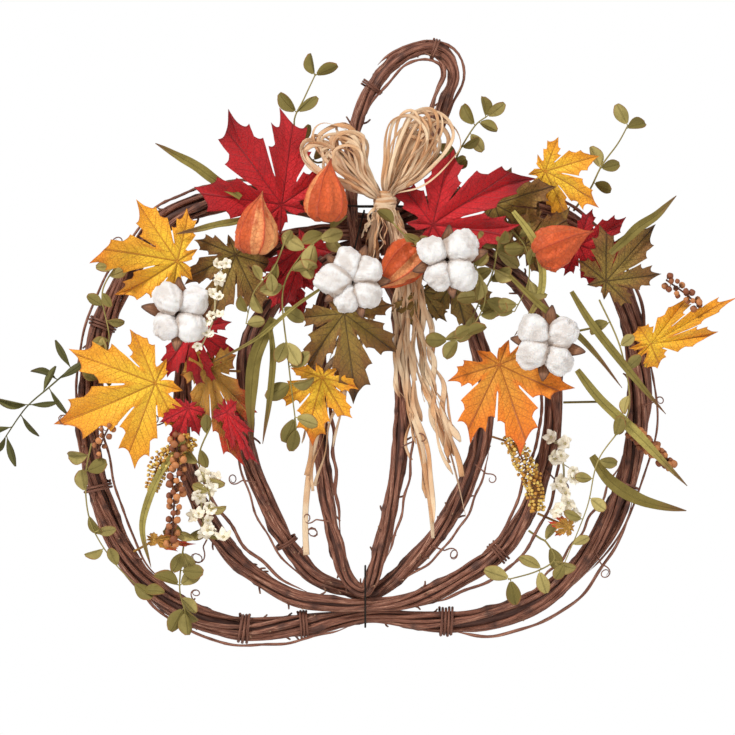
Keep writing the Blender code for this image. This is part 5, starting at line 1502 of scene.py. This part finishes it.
def round_leaf(surface, base, way, long, wide, cup, tint, narrow=False):
    """A sprig leaf: an oval on a grid, wider towards its tip, cupped along and across, on a short stalk."""
    t, s, uv = petal_grid(9, 7)
    shape = np.sin(pi * np.clip(t, 0.03, 0.97)) ** (0.75 if narrow else 0.52) * (0.8 + 0.32 * t)
    x = wide / 2 * shape * s
    z = long * (0.12 + t) + 0 * s
    y = -cup * long * (s**2 * 0.28 * shape - 0.35 * t**2)
    points = np.stack([x, y, z], -1) @ way.T + base
    out = np.clip(t**4 * 0.75 + np.abs(s) ** 5 * 0.75, 0, 1) + 0 * s * t
    blade_body(surface, points, SPRIG_LEAF_THICKNESS, uv, blade=1.0, out=out, tint=tint)
    stalk = base + np.outer(np.linspace(0, long * 0.2, 3), way[:, 2])
    tube(surface, stalk, 0.0005, 5, blade=0.0, out=0.3, tint=tint)


def sprig(surface, rng, line, leaves, long, wide, thick, pale, narrow):
    """A stem with leaves at given shares along it, each turned by its own angle."""
    share = np.linspace(0, 1, len(line))
    tube(surface, line, thick * (1 - 0.45 * share), 7, blade=0.0, out=0.45, tint=0.25 + 0.3 * pale)
    for at, turn in leaves:
        base = line[int(round(at * (len(line) - 1)))]
        way = facing(turn + rng.uniform(-8, 8), rng.uniform(-22, 26), rng.uniform(-50, 50))
        size = rng.uniform(0.86, 1.1)
        round_leaf(surface, base, way, long * size * 0.92, wide * size, rng.uniform(-1, 1),
                   np.clip(rng.uniform(0, 0.75) + 0.4 * (pale - 0.4), 0, 1), narrow)


def rooted_line(places, aim, per_span):
    """A line from the vine through the places."""
    points = [spot(*p) for p in places]
    root = root_on_vine(points[0], aim, STEM_WIRE)
    bend = root + (points[0] - root) * 0.6
    bend[1] = root[1] + (points[0][1] - root[1]) * 0.35
    return spline([root, bend] + points, per_span)


def leaf_sprigs(context):
    """The rooted sprigs, and loose ones threaded between the leaves."""
    rng = np.random.default_rng(11)
    for name, long, wide, aim, places, leaves in SPRIGS:
        narrow = name.startswith("olive")
        surface = Surface()
        sprig(surface, rng, rooted_line(places, aim, 8), leaves, long, wide, STEM_WIRE * 0.75,
              0.05 if narrow else 0.4, narrow)
        finish = "olive_green" if narrow else "sprig_green"
        place(surface.build(name + "_leaves", finish, CREASE_ANGLE), "sprig_leaf", name)
    surface = Surface()
    for long, wide, pale, count, places in LOOSE_SPRIGS:
        line = spline([spot(*p) for p in places], 10)
        turns = rng.uniform(0, 360, count)
        leaves = [(0.1 + 0.9 * k / max(count - 1, 1), turns[k // 2] + 160 * (k % 2)) for k in range(count)]
        sprig(surface, rng, line, leaves, long, wide, STEM_WIRE * 0.6, pale, False)
    place(surface.build("sprigs_loose", "sprig_green", CREASE_ANGLE), "sprig_leaf")


# ------------------------ berries, seed heads and blossom
# name, aim of the root, stem places
BERRIES = [
    ("berry_spray_left", (0, -0.03),
     [(-0.68, 0.53, 0.036), (-0.672, 0.62, 0.034), (-0.685, 0.7, 0.034), (-0.695, 0.815, 0.032)]),
    ("berry_spray_right", (0, 0),
     [(0.935, 0.52, 0.004), (0.985, 0.555, 0.008), (1.03, 0.58, 0.01), (1.085, 0.618, 0.012)]),
]
GRAIN_HEADS = [
    ("grain_head_left", (0, 0),
     [(-0.64, 0.56, 0.02), (-0.69, 0.59, 0.02), (-0.745, 0.615, 0.02), (-0.765, 0.68, 0.02)]),
    ("grain_head_right", (0, 0),
     [(0.52, 0.56, 0.018), (0.56, 0.61, 0.018), (0.595, 0.665, 0.018), (0.605, 0.73, 0.018)]),
]
BLOSSOMS = [
    ("blossom_spray_left", (0, 0),
     [(-0.56, 0.65, 0.024), (-0.59, 0.71, 0.024), (-0.58, 0.76, 0.024), (-0.53, 0.8, 0.024)]),
    ("blossom_spray_right", (0, 0),
     [(0.68, 0.56, 0.012), (0.7, 0.62, 0.012), (0.7, 0.69, 0.012), (0.72, 0.76, 0.012)]),
]
# Each kind of cluster: (slot, how its pieces' names end, its stems, (start share, how many, reach, size)).
CLUSTERS = [
    ("berry", "berries", BERRIES, (0.42, 46, 0.004, 0.0034)),
    ("grain", "seeds", GRAIN_HEADS, (0.3, 230, 0.0088, 0.0018)),
    ("blossom", "flowers", BLOSSOMS, (0.34, 15, 0.0092, 0.0072)),
]
# Clusters that only dress the front: (kind, how many, reach, size, places).
LOOSE_CLUSTERS = [
    ("berry", 20, 0.005, 0.003, [(1.06, 0.15, 0.03), (1.12, 0.18, 0.03), (1.18, 0.215, 0.03)]),
    ("berry", 12, 0.0035, 0.0028, [(-0.905, 0.5, 0.026), (-0.935, 0.54, 0.026), (-0.965, 0.59, 0.026)]),
    ("blossom", 13, 0.006, 0.0052, [(-0.515, 0.11, 0.05), (-0.535, 0.18, 0.05), (-0.545, 0.25, 0.05),
                                   (-0.59, 0.32, 0.048)]),
]


def seed_shape(rows, columns, sharp):
    """A seed: a ball drawn out along Z, whose girth falls off towards the far end by the power sharp."""
    t = np.linspace(0.04, 0.96, rows)[:, None]
    around = np.linspace(0, 2 * pi, columns, endpoint=False)[None, :]
    girth = np.sin(pi * t) ** 0.7 * (1 - 0.55 * t**2) ** sharp
    along = (2 * t - 0.25) * np.ones_like(around)
    return np.stack([girth * np.cos(around), girth * np.sin(around), along], -1)


def turned_to(rng, way):
    """A rotation that takes Z to the given direction, with a random spin about it."""
    side = unit(np.cross(way, unit(rng.normal(size=3))))
    return np.stack([side, np.cross(way, side), way], 1)


def beads_on(surface, rng, line, start, count, reach, size, shape, upright=0.5):
    """Beads in a spiral about the line from start on, each leaning out and along it, darker at its foot."""
    ahead, side, up = frames(line)
    for k in range(count):
        share = start + (1 - start) * (k + 0.5) / count
        i = min(int(share * (len(line) - 1)), len(line) - 1)
        angle = k * GOLDEN_TURN + rng.uniform(-0.3, 0.3)
        out = cos(angle) * side[i] + sin(angle) * up[i]
        spread = reach * (0.55 + 0.6 * sin(pi * min(0.15 + 0.8 * (share - start) / (1 - start), 1)))
        way = unit(out + ahead[i] * upright * rng.uniform(0.6, 1.4))
        own = size * rng.uniform(0.8, 1.15)
        points = (shape * own) @ turned_to(rng, way).T + line[i] + out * spread * rng.uniform(0.45, 1.0)
        deep = np.clip(0.9 - (shape[..., 2] + 0.25) * 0.9, 0, 1)
        surface.grid(points, around=True, caps=(True, True), tint=rng.uniform(0, 1), deep=deep)
        if k % 2 == 0:
            foot, middle = line[i], points.mean((0, 1))
            tube(surface, np.array([foot, (foot + middle) / 2, middle]), 0.0004, 5, tint=0.1, deep=0.5)


def flower(surface, rng, middle, way, size):
    """A small blossom: five cupped petals round a bead."""
    t, s, _ = petal_grid(7, 6)
    cup = rng.uniform(0.25, 0.9)
    wide = size * 0.46 * np.sin(pi * np.clip(t * 0.9 + 0.06, 0, 1)) ** 0.6
    flat = np.stack([wide * s, size * (0.22 * s**2 - cup * t**1.4), size * t + 0 * s], -1)
    deep = np.clip(0.7 - 2.2 * t, 0, 1) + 0 * s
    for k in range(5):
        petal = flat @ np.array(Matrix.Rotation(2 * pi * k / 5 + rng.uniform(-0.1, 0.1), 3, "Y")).T
        points = petal @ way.T + middle
        blade_body(surface, points, PETAL_THICKNESS, tint=rng.uniform(0.2, 1), deep=deep)
    bead = sphere_grid(6, 8) * size * 0.2 + np.array([0, -size * 0.12, 0])
    surface.grid(bead @ way.T + middle, around=True, caps=(True, True), flip=True, tint=0.0, deep=0.8)


def flowers_on(surface, rng, line, start, count, reach, size):
    """Blossoms and buds in a loose spiral round a stem, facing out and forward."""
    for k in range(count):
        share = start + (1 - start) * (k + 0.4) / count
        base = line[min(int(share * (len(line) - 1)), len(line) - 1)]
        angle = k * GOLDEN_TURN
        out = np.array([cos(angle), -0.5 - 0.4 * rng.uniform(), sin(angle)])
        middle = base + unit(out) * reach * rng.uniform(0.7, 1.5)
        stem = np.array([base, (base + middle) / 2 + [0, 0.0006, 0], middle])
        tube(surface, stem, 0.0005, 5, tint=0.1, deep=0.7)
        way = facing(rng.uniform(0, 360), rng.uniform(-35, 35), rng.uniform(-45, 45))
        flower(surface, rng, middle, way, size * rng.uniform(0.75, 1.1))


def crowd(surface, rng, kind, line, start, count, reach, size):
    """The berries, seeds or flowers of one cluster, round its stem from start on."""
    if kind == "blossom":
        flowers_on(surface, rng, line, start, count, reach, size)
    elif kind == "grain":
        beads_on(surface, rng, line, start, count, reach, size, seed_shape(7, 6, 1.0), 1.1)
    else:
        beads_on(surface, rng, line, start, count, reach, size, seed_shape(8, 9, 0.15))


def clusters(context):
    """Bronze berries, golden seed heads and cream blossom, each crowded round its own wired stem."""
    rng = np.random.default_rng(23)
    for kind, ending, rows, crowded in CLUSTERS:
        for name, aim, places in rows:
            line = rooted_line(places, aim, 8)
            surface = Surface()
            tube(surface, line, STEM_WIRE * 0.7, 7, tint=0.1, deep=0.8)
            crowd(surface, rng, kind, line, *crowded)
            place(surface.build(f"{name}_{ending}", kind + "_finish", CREASE_ANGLE), kind, name)
    for kind in ("berry", "blossom"):
        surface = Surface()
        for own_kind, count, reach, size, places in LOOSE_CLUSTERS:
            if own_kind == kind:
                line = spline([spot(*p) for p in places], 8)
                tube(surface, line, 0.0008, 6, tint=0.1, deep=0.8)
                crowd(surface, rng, kind, line, 0.0, count, reach, size)
        place(surface.build(kind + "_sprays_loose", kind + "_finish", CREASE_ANGLE), kind)


# ------------------------ stage
def soft_light(name, place_at, size, power):
    """A square area light that faces the middle of the wreath."""
    lamp = bpy.data.lights.new(name, "AREA")
    lamp.shape = "SQUARE"
    lamp.size = size
    lamp.energy = power
    made = bpy.data.objects.new(name, lamp)
    bpy.context.scene.collection.objects.link(made)
    made.location = place_at
    made.rotation_euler = (Vector(LIT_POINT) - Vector(place_at)).to_track_quat("-Z", "Y").to_euler()


def build_stage(context):
    """The camera straight in front, a white surround, soft lights and a pale floor under the wreath."""
    stage = context.scene.wreath_stage
    scene = context.scene
    scene.view_settings.view_transform = "Standard"
    scene.view_settings.look = "None"
    lens = bpy.data.cameras.new("front_camera")
    lens.lens = lens.sensor_width * stage.distance / stage.view_width
    camera = bpy.data.objects.new("front_camera", lens)
    scene.collection.objects.link(camera)
    camera.location = (0, -stage.distance, stage.view_height)
    camera.rotation_euler = (pi / 2, 0, 0)
    scene.camera = camera
    world = bpy.data.worlds.new("white_surround")
    world.use_nodes = True
    tree = world.node_tree
    seen = tree.nodes["Background"]
    seen.inputs["Color"].default_value = (1, 1, 1, 1)
    glow = tree.nodes.new("ShaderNodeBackground")
    glow.inputs["Color"].default_value = (1, 1, 1, 1)
    glow.inputs["Strength"].default_value = stage.fill
    chosen = tree.nodes.new("ShaderNodeMixShader")
    tree.links.new(tree.nodes.new("ShaderNodeLightPath").outputs["Is Camera Ray"], chosen.inputs[0])
    tree.links.new(glow.outputs[0], chosen.inputs[1])
    tree.links.new(seen.outputs[0], chosen.inputs[2])
    tree.links.new(chosen.outputs[0], tree.nodes["World Output"].inputs["Surface"])
    scene.world = world
    soft_light("key_light", (-1.7, -1.8, 1.9), 0.6, stage.key)
    soft_light("side_light", (1.9, -1.6, 0.2), 1.2, stage.key * 0.2)
    floor_z = CAD_LOW.z - FLOOR_DROP
    x, y = np.meshgrid(np.linspace(-1.8, 1.8, 9), np.linspace(-2.2, 0.44, 9))
    surface = Surface()
    surface.grid(np.stack([x, y, np.full_like(x, floor_z)], -1))
    f = Finish("pale_floor")
    grain = f.noise(f.here, 40.0, 3.0)
    tone = f.mix(grain, shade(stage.floor, 0.985), stage.floor)
    f.surface(tone, 0.8 + grain * 0.1, f.bump(grain, 0.0003))
    floor = surface.build("floor", "pale_floor")
    if floor.data.polygons[0].normal.z < 0:
        floor.data.flip_normals()


# ------------------------ operators
class WreathOperator:
    """What the wreath's operators share."""

    bl_options = {"REGISTER", "UNDO"}

    @classmethod
    def poll(cls, context):
        return context.scene is not None


class WREATH_OT_stage(WreathOperator, Operator):
    """Set up the camera, the light and the floor"""

    bl_idname = "wreath.stage"
    bl_label = "Stage"

    def execute(self, context):
        build_stage(context)
        return {"FINISHED"}


class WREATH_OT_finishes(WreathOperator, Operator):
    """Make every material of the wreath"""

    bl_idname = "wreath.finishes"
    bl_label = "Finishes"

    def execute(self, context):
        scene = context.scene
        bark_finish(scene.wreath_vines)
        wire_finish(scene.wreath_vines)
        raffia_finish(scene.wreath_raffia)
        leaves = scene.wreath_leaves
        leaf_finish("maple_red", leaves, shade(leaves.red, 1.12), shade(leaves.red, 0.82),
                    srgb(0.6, 0.07, 0.1), srgb(0.58, 0.05, 0.09), srgb(0.56, 0.05, 0.09), 0.55)
        leaf_finish("maple_yellow", leaves, leaves.yellow, srgb(0.98, 0.66, 0.14), srgb(0.9, 0.42, 0.1),
                    srgb(0.84, 0.5, 0.1), srgb(0.99, 0.76, 0.24), 0.6, 0.74)
        leaf_finish("maple_orange", leaves, srgb(0.92, 0.62, 0.2), leaves.orange, srgb(0.88, 0.36, 0.1),
                    srgb(0.72, 0.36, 0.12), srgb(0.98, 0.62, 0.18), 0.7)
        leaf_finish("maple_amber", leaves, shade(leaves.amber, 0.8), leaves.amber, srgb(0.78, 0.12, 0.09),
                    srgb(0.9, 0.7, 0.32), srgb(0.56, 0.4, 0.14), 0.7, 0.42)
        leaf_finish("maple_brown", leaves, srgb(0.6, 0.49, 0.2), leaves.brown, shade(leaves.brown, 0.35),
                    srgb(0.3, 0.2, 0.09), srgb(0.7, 0.55, 0.24), 0.85)
        leaf_finish("maple_olive", leaves, srgb(0.52, 0.43, 0.18), srgb(0.54, 0.41, 0.18),
                    srgb(0.44, 0.2, 0.1), srgb(0.26, 0.2, 0.09), srgb(0.58, 0.42, 0.14), 0.7)
        dressing = scene.wreath_dressing
        cotton_finish(dressing)
        husk_finish(dressing)
        lantern_finish(dressing)
        greenery_finish("sprig_green", dressing.sprig, dressing.sprig_pale, srgb(0.58, 0.4, 0.22))
        greenery_finish("olive_green", srgb(0.4, 0.39, 0.21), srgb(0.5, 0.48, 0.29), srgb(0.34, 0.27, 0.16))
        greenery_finish("blade_green", dressing.blade, srgb(0.71, 0.65, 0.35), dressing.blade_tip, 0.4)
        bead_finish("berry_finish", dressing.berry, srgb(0.26, 0.13, 0.07), srgb(0.8, 0.52, 0.3), 900.0)
        bead_finish("grain_finish", dressing.grain, srgb(0.45, 0.27, 0.09), srgb(0.93, 0.8, 0.42), 900.0)
        bead_finish("blossom_finish", dressing.blossom, srgb(0.66, 0.6, 0.34), srgb(1.0, 0.97, 0.9), 500.0,
                    0.2)
        return {"FINISHED"}


class WREATH_OT_tails(WreathOperator, Operator):
    """Hang the raffia tails"""

    bl_idname = "wreath.tails"
    bl_label = "Raffia tails"

    def execute(self, context):
        for seed, name in enumerate(TAILS, 50):
            raffia_tail(context, name, seed)
        return {"FINISHED"}


class WREATH_OT_vines(WreathOperator, Operator):
    """Wind the hoops and the stem from vines"""

    bl_idname = "wreath.vines"
    bl_label = "Vine hoops"

    def execute(self, context):
        for seed, (name, (count, spurs)) in enumerate(BUNDLE_VINES.items(), 100):
            bundle_piece(context, name, count, spurs, seed)
        loose_vines(context)
        return {"FINISHED"}


class WREATH_OT_ties(WreathOperator, Operator):
    """Finish the wire lashings, whose shape is the CAD part's"""

    bl_idname = "wreath.ties"
    bl_label = "Tie wires"

    def execute(self, context):
        for name, node in frame["nodes"].items():
            if name.endswith("_lashing"):
                node.data.materials.clear()
                node.data.materials.append(bpy.data.materials["tying_wire"])
        return {"FINISHED"}


class WREATH_OT_bow(WreathOperator, Operator):
    """Tie the raffia bow"""

    bl_idname = "wreath.bow"
    bl_label = "Raffia bow"

    def execute(self, context):
        raffia_knot(context)
        for seed, name in enumerate(LOOPS, 60):
            raffia_loop(context, name, seed)
        return {"FINISHED"}


class WREATH_OT_leaves(WreathOperator, Operator):
    """Set the maple leaves"""

    bl_idname = "wreath.leaves"
    bl_label = "Maple leaves"

    def execute(self, context):
        for seed, row in enumerate(LEAVES + LOOSE_LEAVES, 200):
            maple_leaf(context, row, seed)
        return {"FINISHED"}


class WREATH_OT_cotton(WreathOperator, Operator):
    """Make the cotton bolls and their husks"""

    bl_idname = "wreath.cotton"
    bl_label = "Cotton bolls"

    def execute(self, context):
        for seed, row in enumerate(COTTON, 300):
            cotton_boll(context, row, seed)
        return {"FINISHED"}


class WREATH_OT_lanterns(WreathOperator, Operator):
    """Make the lantern pods"""

    bl_idname = "wreath.lanterns"
    bl_label = "Lantern pods"

    def execute(self, context):
        for seed, row in enumerate(LANTERNS, 400):
            lantern_pod(context, row, seed)
        return {"FINISHED"}


class WREATH_OT_greenery(WreathOperator, Operator):
    """Make the sprigs and the grass blades"""

    bl_idname = "wreath.greenery"
    bl_label = "Sprigs and blades"

    def execute(self, context):
        leaf_sprigs(context)
        grass_blades(context)
        return {"FINISHED"}


class WREATH_OT_clusters(WreathOperator, Operator):
    """Make the berries, the seed heads and the blossom"""

    bl_idname = "wreath.clusters"
    bl_label = "Berries, seeds and blossom"

    def execute(self, context):
        clusters(context)
        return {"FINISHED"}


OPERATORS = (WREATH_OT_stage, WREATH_OT_finishes, WREATH_OT_tails, WREATH_OT_vines, WREATH_OT_ties,
             WREATH_OT_bow, WREATH_OT_leaves, WREATH_OT_cotton, WREATH_OT_lanterns, WREATH_OT_greenery,
             WREATH_OT_clusters)
GROUPS = {"wreath_vines": WreathVines, "wreath_raffia": WreathRaffia, "wreath_leaves": WreathLeaves,
          "wreath_dressing": WreathDressing, "wreath_stage": WreathStage}


class WREATH_PT_panel(Panel):
    """The wreath's operators and sizes"""

    bl_idname = "WREATH_PT_panel"
    bl_label = "Harvest door wreath"
    bl_space_type = "VIEW_3D"
    bl_region_type = "UI"
    bl_category = "Wreath"

    def draw(self, context):
        for operator in OPERATORS:
            self.layout.operator(operator.bl_idname)
        for name, group in GROUPS.items():
            box = self.layout.box()
            for prop in group.__annotations__:
                box.prop(getattr(context.scene, name), prop)


def register():
    for group in GROUPS.values():
        bpy.utils.register_class(group)
    for name, group in GROUPS.items():
        setattr(bpy.types.Scene, name, PointerProperty(type=group))
    for operator in OPERATORS:
        bpy.utils.register_class(operator)
    bpy.utils.register_class(WREATH_PT_panel)


def unregister():
    bpy.utils.unregister_class(WREATH_PT_panel)
    for operator in reversed(OPERATORS):
        bpy.utils.unregister_class(operator)
    for name, group in GROUPS.items():
        delattr(bpy.types.Scene, name)
        bpy.utils.unregister_class(group)


def clear_start_scene():
    """Removes the start scene's cube, camera and light, and nothing of the frame."""
    for obj in list(bpy.data.objects):
        if obj.name in ("Cube", "Camera", "Light") and "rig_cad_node" not in obj:
            bpy.data.objects.remove(obj)


def main():
    clear_start_scene()
    register()
    for operator in OPERATORS:
        group, action = operator.bl_idname.split(".")
        getattr(getattr(bpy.ops, group), action)()
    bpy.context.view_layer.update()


if __name__ == "__main__":
    main()
